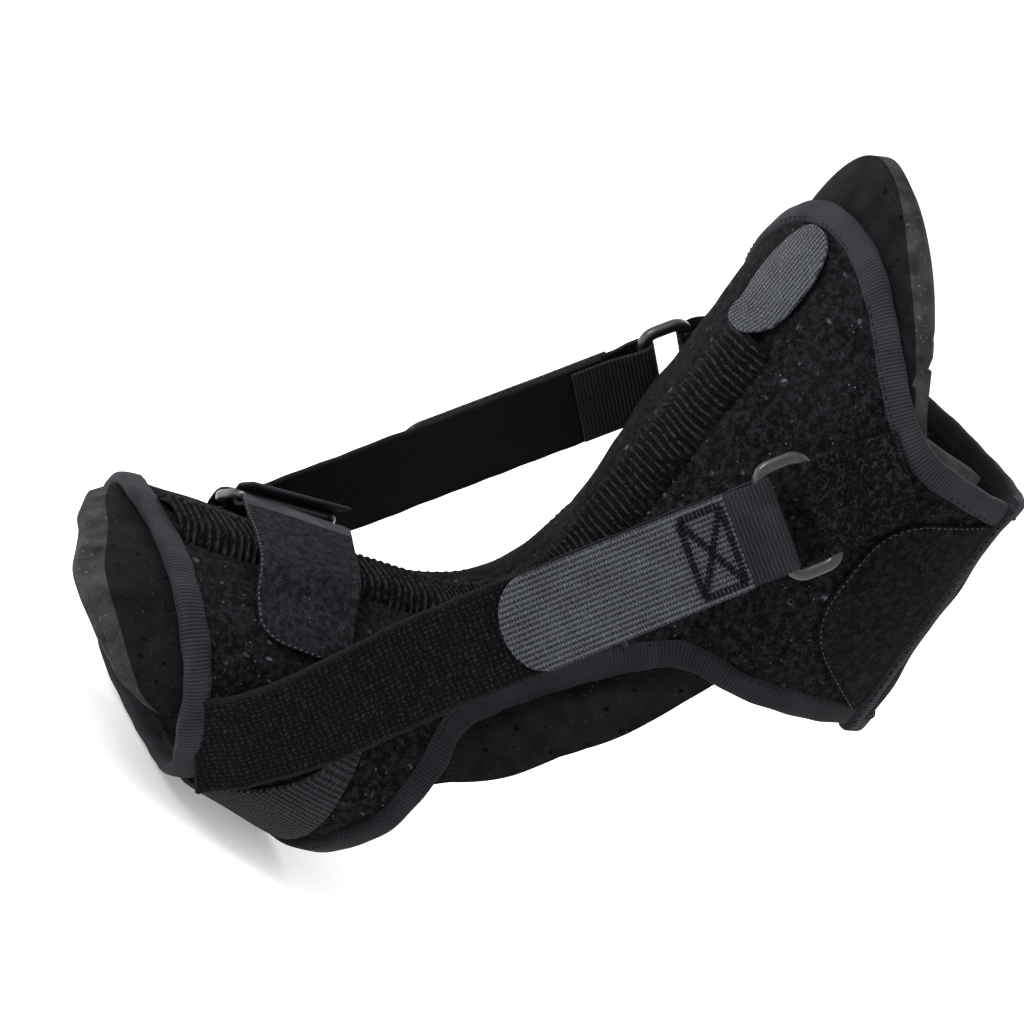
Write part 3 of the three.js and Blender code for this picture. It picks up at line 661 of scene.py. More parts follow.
def stitches(name, points, normals, pitch, length, radius, material):
    """A row of thread stitches along points, each a short round-ended bead."""
    points, normals = np.asarray(points, float), np.asarray(normals, float)
    travelled = distance_along(points)
    starts = np.arange(pitch / 2, travelled[-1] - pitch / 2, pitch)
    rings, sides = 5, 6
    vertices, faces = [], []
    angles = np.linspace(0, math.tau, sides, endpoint=False)
    for start in starts:
        s = np.linspace(start - length / 2, start + length / 2, rings)
        line = at_distances(s, travelled, points)
        up = unit(at_distances(s, travelled, normals))
        side = np.cross(unit(line[-1] - line[0]), up)
        sink = np.array([-1.0, -0.15, 0.0, -0.15, -1.0]) * radius * 1.6
        size = np.array([0.35, 0.9, 1.0, 0.9, 0.35]) * radius
        base = len(vertices)
        for k in range(rings):
            centre = line[k] + up[k] * sink[k]
            for a in angles:
                vertices.append(centre + side[k] * math.cos(a) * size[k] + up[k] * math.sin(a) * size[k])
        for k in range(rings - 1):
            for m in range(sides):
                n = (m + 1) % sides
                a, b = base + k * sides, base + (k + 1) * sides
                faces.append((a + m, a + n, b + n, b + m))
        faces.append(tuple(base + m for m in range(sides))[::-1])
        faces.append(tuple(base + (rings - 1) * sides + m for m in range(sides)))
    obj = make_object(name, vertices, faces, [material])
    recalculate_normals(obj)
    return obj


# ---------------------------------------------------------------- pieces that follow the bodies
BEND_START = Vector(limb(28, 0, 10) * MM)      # on the shin side of the instep
BEND_END = Vector(limb(-28, 0, 10) * MM)       # on the foot side


def bends(obj, slot, *nodes):
    """A piece that crosses the instep and stands for CAD nodes on both sides of it."""
    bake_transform(obj)
    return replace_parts(obj, *nodes)


def rides(obj, body, slot, *nodes):
    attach(obj, body)
    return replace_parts(obj, *nodes)


# ---------------------------------------------------------------- laminate shell and foam liner
FRONT_COLUMNS = 75


def column_places(notch, reach, side):
    """The v of each column: even in front, and closer together beside the ankle cut-out."""
    beside = notch + (reach - notch) * np.linspace(0, 1, side + 1)[1:] ** 2
    return np.concatenate([-beside[::-1], np.linspace(-notch, notch, FRONT_COLUMNS), beside])


def notched_parts(notch, reach, foot_low, foot_high, shin_low, shin_high, layer, rows, side, shape,
                  bevel=0.0):
    """A foot half and a shin half that meet in front of the instep, with a cut-out on each side.
    bevel is how much shorter the outside is at the toe edge, and at the inner side's top edge."""
    parts = []
    for half, v_reach, beside in (("foot", reach[0], side[0]), ("shin", reach[1], side[1])):
        places = column_places(notch, v_reach, beside)
        v = columns_of(places, rows)
        t = np.linspace(0, 1, rows)[:, None]
        inside = np.abs(v) <= notch + 1e-9
        if half == "foot":
            low, high = foot_low(v), np.where(inside, 0, foot_high(v))
        else:
            low, high = np.where(inside, 0, shin_low(v)), shin_high(v)
        u = low + (high - low) * t
        cut_back = (1 - t) ** 3 if half == "foot" else -smoothstep(v, -10, 35) * t**3
        skived = low * (1 - t) + high * t + bevel * cut_back
        joined = inside[0, 1:] & inside[0, :-1]
        rise = shape(u, v)
        outer, inner = limb(skived, v, layer[1] + rise), limb(u, v, layer[0] + rise * 0.7)
        uv = np.stack([v * 0.9, u], -1)
        skips = {"skip_last": joined} if half == "foot" else {"skip_first": joined}
        parts.append(sheet_parts(outer, inner, uv, **skips))
    return parts


def line_distance(points, line, reach):
    """Nought on the line, rising to one at that distance from it."""
    tree = KDTree(len(line))
    for i, p in enumerate(line):
        tree.insert(p, i)
    tree.balance()
    flat = points.reshape(-1, 3)
    found = np.array([tree.find(p)[2] for p in flat]).reshape(points.shape[:-1])
    return smoothstep(found, 0, reach)


def ankle_path(sign):
    """u and v along the ankle cut-out, from the sole round the notch to the calf."""
    t = np.linspace(0, 1, 240)
    under = NOTCH + (180 - NOTCH) * (1 - t) ** 2
    behind = NOTCH + (SHELL_BACK - NOTCH) * t[1:] ** 2
    u = np.concatenate([heel_edge(under), ankle_edge(behind)])
    return u, sign * np.concatenate([under, behind])


def even(points, normals, pitch, closed=False, soften=4):
    """The line resampled at an even pitch and smoothed a little."""
    if closed:
        points, normals = np.concatenate([points, points[:1]]), np.concatenate([normals, normals[:1]])
    travelled = distance_along(points)
    places = np.linspace(0, travelled[-1], max(int(travelled[-1] / pitch), 8) + 1)
    if closed:
        places = places[:-1]
    line = at_distances(places, travelled, points)
    up = at_distances(places, travelled, normals)
    for _ in range(soften):
        before, after = np.roll(line, 1, 0), np.roll(line, -1, 0)
        smooth = (before + 2 * line + after) / 4
        line = smooth if closed else np.concatenate([line[:1], smooth[1:-1], line[-1:]])
    return line, up


def edge_line(u, v, off):
    points = limb(u, v, off)
    return points, limb(u, v, off + 1) - points


TAPE_OFF = 10.4
full_turn = np.linspace(-180, 180, 361)[:-1]
toe_line = even(*edge_line(toe_edge(full_turn), full_turn, TAPE_OFF), 1.0, closed=True)
top_turn = np.linspace(SHELL_BACK, -SHELL_BACK, 300)
top_line = even(*edge_line(top_edge(top_turn), top_turn, TAPE_OFF), 1.0)
SIGNS = (("medial", 1), ("lateral", -1))
ankle_lines = {side: even(*edge_line(*ankle_path(sign), TAPE_OFF), 1.0) for side, sign in SIGNS}
edge_points = np.concatenate([line[0] for line in (toe_line, top_line, *ankle_lines.values())])


def shell_rise(u, v):
    """Soft lumps of the laminate, folds over the instep, and a pull towards the bindings."""
    lumps = 0.7 * soft_noise(u, v, 8.0, 3, 3) + 0.16 * soft_noise(u, v, 2.2, 5, 2)
    folds = 0.6 * np.exp(-(u / 24) ** 2) * np.sin(u / 3.1 + 0.06 * v) * smoothstep(np.abs(v), 12, 24)
    return (lumps + folds) * line_distance(limb(u, v, TAPE_OFF), edge_points, 9)


shell = sheet_object("shell", notched_parts(
    NOTCH, (180, SHELL_BACK + 1), toe_edge, heel_edge, ankle_edge, top_edge, SHELL,
    rows=150, side=(110, 70), shape=shell_rise,
), [SHELL_CLOTH, LINING_CLOTH, SHELL_CLOTH])
bends(shell, "shell_fabric", "foot_shell", "shin_shell")

FOAM_CUTS = ((46, 1.5), (52, 1.8))      # small snips in the top edge of the foam: v, depth


def liner_top_edge(v):
    snips = sum(depth * np.exp(-((v - place) / 0.5) ** 2) for place, depth in FOAM_CUTS)
    return liner_top(v) - snips


def liner_rise(u, v):
    return 0.3 * soft_noise(u, v, 14.0, 11, 1)


liner = sheet_object("liner", notched_parts(
    LINER_NOTCH, (100, 96), liner_toe, liner_heel, liner_ankle, liner_top_edge, LINER,
    rows=90, side=(90, 90), shape=liner_rise, bevel=6.5,
), [FOAM_FACE, LINING_CLOTH, FOAM_EDGE])
bends(liner, "liner_foam", "foot_liner", "shin_liner")

# ---------------------------------------------------------------- bindings
BINDING_WIDTH, BINDING_THICKNESS = 8.6, 4.7


def tape_ripple(count, seed):
    """Slight uneven fullness of a folded tape along its length."""
    waves = np.random.default_rng(seed)
    s = np.arange(count)
    total = sum(np.sin(s / period + waves.uniform(0, 6)) for period in (2.1, 5.3, 11.7))
    return 0.028 * total


def binding(name, line, seed, material=BINDING, closed=False):
    points, normals = line
    return tube(name, points, normals, BINDING_WIDTH, BINDING_THICKNESS, material, sides=20,
                closed=closed, squash_power=3.0, ripple=tape_ripple(len(points), seed))


SEAM_STITCH = (2.9, 2.1, 0.32)     # pitch, length and radius of a stitch
SEAM_IN, SEAM_UP = 3.0, 2.0        # from the middle of the tape to its seam


def seam_beside(name, line, inward, lift):
    """Stitches along a binding, moved sideways towards the cloth and up onto the tape."""
    points, normals = line
    along = np.gradient(points, axis=0)
    side, up = unit(np.cross(along, normals)), unit(normals)
    return stitches(name, points + side * inward + up * lift, up, *SEAM_STITCH, DARK_THREAD)


rides(binding("toe_binding", toe_line, 2, closed=True), "foot", "edging_tape", "toe_edging")
rides(binding("top_binding", top_line, 3), "shin", "edging_tape", "top_edging")
for side, sign in SIGNS:
    edge = binding(f"ankle_binding_{side}", ankle_lines[side], 4, ANKLE_BINDING)
    bends(edge, "edging_tape", f"foot_edging_{side}", f"shin_edging_{side}")
    seam = seam_beside(f"ankle_seam_{side}", ankle_lines[side], -sign * SEAM_IN, SEAM_UP)
    bends(seam, "edging_tape")
rides(seam_beside("toe_seam", toe_line, -SEAM_IN, SEAM_UP), "foot", "edging_tape")
rides(seam_beside("top_seam", top_line, -SEAM_IN, SEAM_UP), "shin", "edging_tape")

# ---------------------------------------------------------------- ribbed channel over the stay
CHANNEL_HALF, CHANNEL_HEIGHT, CHANNEL_TOE, CHANNEL_TOP = 12.2, 4.6, -127, 122


def build_channel():
    """Gathered webbing: close pleats that are deepest along both edges."""
    rows, columns = 900, 44
    u = rows_of(np.linspace(CHANNEL_TOE, CHANNEL_TOP, rows), columns)
    x = columns_of(np.linspace(-1, 1, columns), rows)
    crown = np.clip(1 - np.abs(x) ** 4.5, 0, 1) ** 0.8
    drift = 1.5 * soft_noise(u, x * 14, 4.5, 21, 2) + 2.4 * soft_noise(u, x * 5, 14.0, 23, 1)
    phase = math.tau * u / PLEAT + drift + 1.5 * np.abs(x)
    pleat = np.sin(phase)
    depth = 0.62 + 0.5 * smoothstep(np.abs(x), 0.25, 0.8)
    loops = 0.06 * soft_noise(u, x * 12, 0.7, 25, 2)
    rise = crown * (CHANNEL_HEIGHT + pleat * depth + loops)
    edge_wave = 1 + 0.035 * np.sin(math.tau * u / PLEAT + drift) * np.abs(x) ** 8
    off = ON_SHELL - 0.7 + rise
    v = v_across(u, x * CHANNEL_HALF * edge_wave, off)
    outer, inner = limb(u, v, off), limb(u, v, off - 1.2)
    uv = np.stack([x * CHANNEL_HALF, phase * PLEAT / math.tau], -1)
    return sheet("stay_channel", outer, inner, [CHANNEL_LOOP, WEBBING, CHANNEL_LOOP], uv)


channel = build_channel()
bends(channel, "ribbed_channel", "foot_channel", "shin_channel")
for stay in ("foot_stay", "shin_stay"):
    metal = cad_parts[stay]
    metal.data.materials.clear()
    metal.data.materials.append(ALUMINIUM)


# ---------------------------------------------------------------- patches that lie on the shell
ARC_PER_DEGREE = 0.95              # millimetres round the limb to a degree, for even weaves


def patch(name, u, v, off, thickness, materials, puff=0.3):
    """A thin patch on the limb from grids of u and v, slightly raised in its middle."""
    rows, columns = u.shape
    i, j = np.linspace(-1, 1, rows)[:, None], np.linspace(-1, 1, columns)[None, :]
    rise = puff * (1 - i**6) * (1 - j**6)
    outer, inner = limb(u, v, off + thickness + rise), limb(u, v, off + rise * 0.5)
    return sheet(name, outer, inner, materials, np.stack([v * ARC_PER_DEGREE, u], -1))


def outline_stitches(name, u, v, off, material, radius, pitch, length):
    points, normals = even(*edge_line(np.asarray(u, float), np.asarray(v, float), off), 0.5, soften=1)
    return stitches(name, points, normals, pitch, length, radius, material)


FLAP_FOOT, FLAP_TOP, FLAP_HALF, FLAP_SHIFT = 120.5, 161, 13.2, -5


def build_oval_flap():
    t = np.linspace(0, math.pi, 70)
    flap_u = (FLAP_FOOT + FLAP_TOP) / 2 - (FLAP_TOP - FLAP_FOOT) / 2 * np.cos(t)
    flap_width = FLAP_HALF * np.sin(t).clip(0.02) ** 0.8
    across = FLAP_SHIFT + flap_width[:, None] * np.linspace(-1, 1, 40)[None, :]
    u = rows_of(flap_u, 40)
    lift = 3.0 * (1 - smoothstep(u, 120, 130))       # the flap's foot lies over the end of the channel
    v = v_across(u, across, ON_SHELL)
    flap = sheet("oval_flap", limb(u, v, ON_SHELL + 1.7 + lift), limb(u, v, ON_SHELL + 0.4 + lift),
                 [GREY_HOOK, DARK_HOOK, GREY_HOOK], np.stack([across, u], -1))
    rides(flap, "stay_flap", "grey_hook_tape", "stay_flap")


build_oval_flap()

CALF_MIDDLE, CALF_HALF, CALF_FRONT, CALF_BACK = 86, 37, 76.5, 110.5


def calf_front(u):
    return CALF_FRONT + (CALF_BACK - CALF_FRONT) * np.abs((u - CALF_MIDDLE) / CALF_HALF) ** 3.4


def build_calf_tab():
    reach = CALF_HALF - 0.7
    u = rows_of(np.linspace(CALF_MIDDLE - reach, CALF_MIDDLE + reach, 90), 40)
    v = calf_front(u) + (CALF_BACK - calf_front(u)) * np.linspace(0, 1, 40)
    calf_tab = patch("calf_tab", u, v, ON_SHELL - 0.3, 1.3, [CALF_CLOTH, DARK_HOOK, CALF_CLOTH])
    rides(calf_tab, "calf_hook_tab", "black_hook_tape", "calf_hook_tab")
    rim = outline_stitches("calf_tab_thread", u[:, 0], calf_front(u[:, 0]) + 0.4, ON_SHELL + 1.2,
                           PALE_THREAD, radius=0.17, pitch=2.1, length=1.3)
    rides(rim, "calf_hook_tab", "black_hook_tape")


build_calf_tab()

SOLE_HEEL, SOLE_TOE, SOLE_HINGE = -68, -101, 172


def build_sole_flap():
    u = rows_of(np.linspace(SOLE_TOE, SOLE_HEEL, 40), 90)
    edge = 76 - 1.65 * (u - SOLE_HEEL)
    v = edge + (SOLE_HINGE - edge) * np.linspace(0, 1, 90)
    u = np.maximum(u, toe_edge(v) + 5.5)
    sole_flap = patch("sole_hook_flap", u, v, ON_SHELL, 1.5, [DARK_HOOK, DARK_HOOK, DARK_HOOK], 0.5)
    rides(sole_flap, "sole_flap", "black_hook_tape", "sole_flap")


build_sole_flap()

# ---------------------------------------------------------------- calf band
BAND_FROM, BAND_TO, BAND_FOOT, BAND_TOP = 120.0, 249.0, 45.0, 130.0
BAND_INSIDE, BAND_OUTSIDE = 8.4, 12.0
EDGE_TAPE_WIDTH, EDGE_TAPE_THICKNESS, EDGE_TAPE_OFF = 7.4, 4.9, 10.2
CALF_TAPE_WIDTH, CALF_TAPE_THICKNESS, CALF_TAPE_OFF = 7.2, 4.6, 11.4


def build_calf_band():
    u = rows_of(np.linspace(BAND_FOOT, BAND_TOP, 90), 130)
    v = columns_of(np.linspace(BAND_FROM, BAND_TO, 130), 90)
    fold = 0.7 * soft_noise(u, v, 7.0, 31, 2) + 0.5 * np.sin(u / 5 + 0.06 * v) * smoothstep(v, 120, 150)
    from_edge = smoothstep(np.minimum(u - BAND_FOOT, BAND_TOP - u), 0, 8)
    from_end = smoothstep(np.minimum(v - BAND_FROM, BAND_TO - v), 0, 8)
    rise = fold * from_edge * from_end
    band = sheet("calf_band_cloth", limb(u, v, BAND_OUTSIDE + rise), limb(u, v, BAND_INSIDE + rise * 0.6),
                 [SHELL_CLOTH, LINING_CLOTH, SHELL_CLOTH], np.stack([v * ARC_PER_DEGREE, u], -1))
    rides(band, "shin", "shell_fabric", "calf_band")


def build_band_bindings():
    """Tapes round the band's edges, and the seams that hold the band to the shell."""
    band_v = np.linspace(BAND_FROM - 3, BAND_TO - 2, 200)
    for place, level, inward in (("top", BAND_TOP, 2.6), ("foot", BAND_FOOT, -2.6)):
        line = even(*edge_line(np.full(200, level), band_v, EDGE_TAPE_OFF), 1.0)
        tape = tube(f"band_binding_{place}", *line, EDGE_TAPE_WIDTH, EDGE_TAPE_THICKNESS, ANKLE_BINDING,
                    sides=18, squash_power=3.0, ripple=tape_ripple(len(line[0]), 8))
        rides(tape, "shin", "edging_tape")
        rides(seam_beside(f"band_seam_{place}", line, inward, lift=2.5), "shin", "edging_tape")
    tape_u = np.linspace(BAND_TOP + 1, BAND_FOOT - 1, 90)
    line = even(*edge_line(tape_u, np.full(90, BAND_FROM - 4.0), CALF_TAPE_OFF), 0.8)
    back_tape = tube("calf_tape", *line, CALF_TAPE_WIDTH, CALF_TAPE_THICKNESS, ANKLE_BINDING,
                     sides=20, squash_power=3.4, ripple=tape_ripple(len(line[0]), 9))
    rides(back_tape, "shin", "edging_tape", "calf_band_edging")
    rides(seam_beside("calf_tape_seam", line, inward=2.2, lift=2.3), "shin", "edging_tape")
    join_u = np.linspace(BAND_FOOT + 5, BAND_TOP - 5, 90)
    join_line = outline_stitches("band_join_seam", join_u, np.full(90, BAND_TO - 3.5), 12.1,
                                 DARK_THREAD, radius=0.3, pitch=3.0, length=2.2)
    rides(join_line, "shin", "shell_fabric")


build_calf_band()
build_band_bindings()


# ---------------------------------------------------------------- rings and webbing
class Axes:
    """Three unit axes at a point: x along a strap, y across it, z outwards."""

    def __init__(self, origin, along, outward):
        self.origin = np.asarray(origin, float)
        self.x = unit(along)
        self.z = unit(outward - self.x * np.dot(outward, self.x))
        self.y = np.cross(self.z, self.x)

    def point(self, x, y, z):
        x, y, z = (np.asarray(a, float)[..., None] for a in np.broadcast_arrays(x, y, z))
        return self.origin + self.x * x + self.y * y + self.z * z


RING_WIDTH, RING_BAR, RING_PITCH, RING_THICKNESS = 39, 4, 16, 3.6
LOOP_WALL, LOOP_RADIUS, LOOP_HALF = 1.3, 3.15, 14.5
PILE = 0.32                        # height of the loop pile
FOLD_STEP = 0.5


def ring(name, axes, body, node):
    """A moulded rectangular ring with round corners; axes are at its rear bar."""
    half_x, half_y, corner = RING_PITCH / 2, (RING_WIDTH - RING_BAR) / 2, 4.6
    outline = []
    for cx, cy, first in ((1, 1, 0), (-1, 1, 90), (-1, -1, 180), (1, -1, 270)):
        centre = np.array([cx * (half_x - corner), cy * (half_y - corner)])
        for angle in np.radians(np.linspace(first, first + 90, 9)):
            outline.append(centre + corner * np.array([math.cos(angle), math.sin(angle)]))
    outline = np.array(outline)
    points = axes.point(outline[:, 0] - half_x, outline[:, 1], 0)
    normals = np.zeros_like(points) + axes.z
    line, up = even(points, normals, 0.8, closed=True, soften=2)
    at_corner = np.abs(np.abs((line - axes.origin) @ axes.y) - half_y) < 4
    thick = RING_THICKNESS * (1 + 0.06 * at_corner)
    obj = tube(name, line, up, RING_BAR, thick, PLASTIC, sides=16, closed=True, squash_power=2.5)
    return rides(obj, body, "ring_plastic", node)


def fold_path(front_leg, back_leg, level):
    """x and z along webbing folded round a bar at the origin, and the outward x and z.
    level(x) is half its height."""
    top = np.arange(-front_leg, 0, FOLD_STEP)
    turn = np.linspace(math.pi / 2, -math.pi / 2, 20)
    bottom = np.arange(0, -back_leg, -FOLD_STEP)[1:]
    x = np.concatenate([top, LOOP_RADIUS * np.cos(turn), bottom])
    z = np.concatenate([level(top), LOOP_RADIUS * np.sin(turn), -level(bottom)])
    dx, dz = np.gradient(x), np.gradient(z)
    size = np.hypot(dx, dz)
    return x, z, -dz / size, dx / size


def folded_webbing(name, path, place, half, materials, pile=0.0, seed=1):
    """Webbing along a folded path, across to each side, with its loop pile as real bumps."""
    x, z, nx, nz = (a[:, None] for a in path)
    y = np.linspace(-half, half, 60)[None, :]
    rows = np.arange(len(x))[:, None]
    curls = np.sin(rows * 1.4 + 2 * np.sin(y * 1.7)) * np.sin(y * 2.6)
    bumps = pile * (soft_noise(rows * 0.5, y, 0.8, seed, 2) + 0.4 * curls)
    out, back = LOOP_WALL / 2 + bumps, -LOOP_WALL / 2
    outer, inner = place(x + nx * out, y, z + nz * out), place(x + nx * back, y, z + nz * back)
    return sheet(name, outer, inner, materials, lengths(outer))


def anchor_level(x):
    """Half height of the slack eye: open at the bar, closed in the sewn tail."""
    return LOOP_RADIUS - 2.5 * smoothstep(-x, 3, 13)


SIDES = {
    "medial": dict(sign=1, ring=(99, 55, 17), tilt=28, foot=(-114, 103, 15.5), bow=5, anchor=(118, 68)),
    "lateral": dict(sign=-1, ring=(95, -74, 16), tilt=6, foot=(-105, -107, 17.2), bow=0, anchor=(106, -88)),
}
FOOT_TILT = 2
STRAP_HALF, STRAP_THICKNESS, STRAP_SHORT = 15.0, 1.9, 15
TAB_START, TAB_LENGTH, TAB_NOSE = -12.4, 77, 13
TAB_UNDER, TAB_TOP, TAB_SEAM = 1.75, 3.1, 3.25     # heights over the middle of the strap
X_AXIS = np.array([1.0, 0.0, 0.0])


def strap_starts(start, along, outward, across):
    """How far along each line of the strap passes the toe binding, where it is sewn in."""
    axes = Axes(start, along, outward)
    runs = np.linspace(-12, 30, 85)
    points = axes.point(runs[:, None], across[None, :], 0)
    gaps = np.linalg.norm(points[:, :, None] - toe_line[0][None, None], axis=-1).min(-1)
    nearest = runs[np.argmin(gaps, axis=0)] + 0.5
    slope, level = np.polyfit(across, nearest, 1)
    return level + slope * across


def anchor_webbing(side, s, axes):
    """Webbing round the rear bar that lies down onto the shin, where it is sewn."""
    down = limb(*s["anchor"], s["ring"][2] - 2) - axes.origin
    tail = Axes(axes.origin, down, axes.z)

    def anchored(x, y, z):
        free = axes.point(-x, y, z)
        level = ON_SHELL + LOOP_WALL + np.broadcast_to(z, np.broadcast(x, y).shape)
        sewn = drape_on_shin(tail.point(-x, y, 0), level)
        return free + (sewn - free) * smoothstep(-x, 5, 16)[..., None]

    path = fold_path(28, 28, anchor_level)
    webbing = folded_webbing(f"{side}_anchor_webbing", path, anchored, LOOP_HALF,
                             [COARSE_LOOP, WEBBING, COARSE_LOOP], PILE, seed=41)
    rides(webbing, "shin", "loop_webbing", f"{side}_ring_anchor")


def strap_loop(side, front):
    """Webbing folded round the front bar, and the strap's end that lies behind the strap."""
    def loop_level(x):
        return np.where(x > 0, LOOP_RADIUS, LOOP_RADIUS - 1.0 * smoothstep(-x, 3, 9))

    x, z, nx, nz = fold_path(13, 26, loop_level)
    below = (z < 0) & (x < 0)
    z = np.where(below, -LOOP_RADIUS + 1.35 * smoothstep(-x, 2, 14), z)
    folded = folded_webbing(f"{side}_loop_webbing", (x, z, nx, nz), front.point, LOOP_HALF,
                            [WEBBING, STRAP_BACK, WEBBING])
    rides(folded, f"{side}_ring", "loop_webbing", f"{side}_strap_loop")


def hook_tab(side, front):
    """The grey hook tab with its round nose."""
    u = np.linspace(0, 1, 120)
    place = TAB_START - TAB_LENGTH * (1 - (1 - u) ** 1.4)
    into_nose = np.clip((TAB_START - TAB_LENGTH + TAB_NOSE - place) / TAB_NOSE, 0, 0.998)
    half = STRAP_HALF * np.sqrt(1 - into_nose**2.3)
    y = half[:, None] * np.linspace(-1, 1, 50)
    x = rows_of(place, 50)
    wave = 0.16 * soft_noise(x, y, 6.0, 51, 2)
    outer, inner = front.point(x, y, TAB_TOP + wave), front.point(x, y, TAB_UNDER + wave)
    tab = sheet(f"{side}_tab", outer, inner, [GREY_HOOK, DARK_HOOK, GREY_HOOK], np.stack([y, x], -1))
    rides(tab, f"{side}_hook_tab", "grey_hook_tape", f"{side}_hook_tab")


def box_stitch(side, front):
    """The crossed box of thread that holds the tab to the strap."""
    near_end, far_end, edge = TAB_START - 1.8, TAB_START - 15.5, 12.6
    corners = [(near_end, -edge), (near_end, edge), (far_end, edge), (far_end, -edge),
               (near_end, -edge), (far_end, edge), (far_end, -edge), (near_end, edge)]
    box = []
    for a, b in zip(corners[:-1], corners[1:]):
        steps = np.linspace(0, 1, 40)[:, None]
        box.append(np.array(a) * (1 - steps) + np.array(b) * steps)
    box = np.concatenate(box)
    seam = front.point(box[:, 0], box[:, 1], TAB_SEAM)
    crossed = stitches(f"{side}_box_stitch", seam, np.zeros_like(seam) + front.z,
                       pitch=1.3, length=1.25, radius=1.15, material=NAVY_THREAD)
    rides(crossed, f"{side}_hook_tab", "grey_hook_tape")


def strap_band(side, s, start, along, outwards, length):
    """The strap itself, turning from its sewn end to the tilt of its ring, with rolled edges."""
    rows, columns = 340, 44
    t = np.linspace(0, 1, rows)
    across = np.linspace(-1, 1, columns)
    first = strap_starts(start, along, outwards(FOOT_TILT), across * STRAP_HALF)
    outer, inner = np.zeros((rows, columns, 3)), np.zeros((rows, columns, 3))
    uv = np.zeros((rows, columns, 2))
    for i, share in enumerate(t):
        twist = FOOT_TILT + (s["tilt"] - FOOT_TILT) * smoothstep(share, 0, 0.45)
        here = Axes(start, along, outwards(float(twist)))
        bow = s["bow"] * math.sin(math.pi * min(share / 0.5, 1)) ** 2
        run = first + (length - first) * share
        selvage = 1 + 0.008 * math.sin(share * length / 1.9) + 0.006 * math.sin(share * length / 4.7)
        y = across * STRAP_HALF * selvage
        tucked = s["foot"][2] - 10.8
        sink = tucked * (1 - smoothstep(run - first, 0, 14))
        cup = bow - sink + 0.3 * np.sin(run / 17) * (1 - across**2) + 0.12 * soft_noise(run, y, 3.0, 61, 2)
        pile = 0.16 * np.sin(run * 3.1 + 2 * np.sin(y * 2.3)) * np.sin(y * 3.7) * (np.abs(across) < 0.9)
        outer[i] = here.point(run, y, cup + STRAP_THICKNESS / 2 + pile)
        inner[i] = here.point(run, y, cup - STRAP_THICKNESS / 2)
        uv[i] = np.stack([y, run], -1)
    band = sheet(f"{side}_strap_webbing", outer, inner, [LOOP_CLOTH, STRAP_BACK, STRAP_BACK], uv)
    rides(band, f"{side}_strap", "loop_webbing", f"{side}_strap")
    for edge_name, at in (("front", 0), ("back", -1)):
        middle = (outer[:, at] + inner[:, at]) / 2
        normal = outer[:, at] - inner[:, at]
        lip = tube(f"{side}_strap_edge_{edge_name}", *even(middle, normal, 0.9), 1.7,
                   STRAP_THICKNESS + 0.25, STRAP_BACK, sides=10)
        rides(lip, f"{side}_strap", "loop_webbing")


def traction_strap(side, s):
    rear, start = limb(*s["ring"]), limb(*s["foot"])
    along = unit(rear - start)
    lift = np.cross(X_AXIS, along)

    def outwards(tilt):
        return X_AXIS * s["sign"] * math.cos(math.radians(tilt)) + lift * math.sin(math.radians(tilt))

    axes = Axes(rear, along, outwards(s["tilt"]))
    front = Axes(axes.point(-RING_PITCH, 0, 0), along, axes.z)
    ring(f"{side}_ring_moulding", axes, f"{side}_ring", f"{side}_ring")
    anchor_webbing(side, s, axes)
    strap_loop(side, front)
    hook_tab(side, front)
    box_stitch(side, front)
    length = np.linalg.norm(rear - start) - RING_PITCH - STRAP_SHORT
    strap_band(side, s, start, along, outwards, length)


for side, settings in SIDES.items():
    traction_strap(side, settings)

# ---------------------------------------------------------------- forefoot ring, anchor and tab
FORE_U, FORE_BAR, FORE_OFF = -76, -26, 18.2        # where the ring's inner bar lies on the limb
FORE_START, FORE_LENGTH, FORE_HALF = 5.6, 66, 19   # the tab: from the bar, length, half width
FORE_DRIFT, FORE_SWEEP = -16, 3.5                  # how it leans and bows towards the toes
FORE_TAPER, FORE_ROUND = 0.2, 9                    # narrowing of its tip, and its corner radius
CREASE_WIDTH, CREASE_SLOT = 9.0, 3
fore_bar = limb(FORE_U, FORE_BAR, FORE_OFF)
towards_outer = limb(FORE_U, FORE_BAR - 10, FORE_OFF - 1.5) - fore_bar
fore_axes = Axes(fore_bar, towards_outer, limb(FORE_U, FORE_BAR, FORE_OFF + 1) - fore_bar)
fore_rear = Axes(fore_axes.point(RING_PITCH, 0, 0), fore_axes.x, fore_axes.z)
ring("forefoot_ring_moulding", fore_rear, "foot", "forefoot_ring")


def fore_anchored(x, y, z):
    free = fore_rear.point(-x, y, z)
    v = FORE_BAR - (RING_PITCH - x) / ARC_PER_DEGREE / 0.9
    level = ON_SHELL + LOOP_WALL + np.broadcast_to(z, np.broadcast(x, y).shape)
    sewn = limb(FORE_U - np.broadcast_to(y, level.shape), np.broadcast_to(v, level.shape), level)
    return free + (sewn - free) * smoothstep(-x, 4, 18)[..., None]


fore_webbing = folded_webbing("forefoot_anchor_webbing", fold_path(27, 27, anchor_level), fore_anchored,
                              LOOP_HALF, [COARSE_LOOP, WEBBING, COARSE_LOOP], PILE, seed=43)
rides(fore_webbing, "foot", "loop_webbing", "forefoot_ring_anchor")
x, z, nx, nz = fold_path(7.5, 7.5, lambda x: LOOP_RADIUS + 0 * x)
fore_loop = folded_webbing("forefoot_loop_webbing", (x, z, nx, nz), fore_axes.point, LOOP_HALF + 3.5,
                           [WEBBING, WEBBING, WEBBING])
rides(fore_loop, "foot", "loop_webbing", "forefoot_tab_loop")


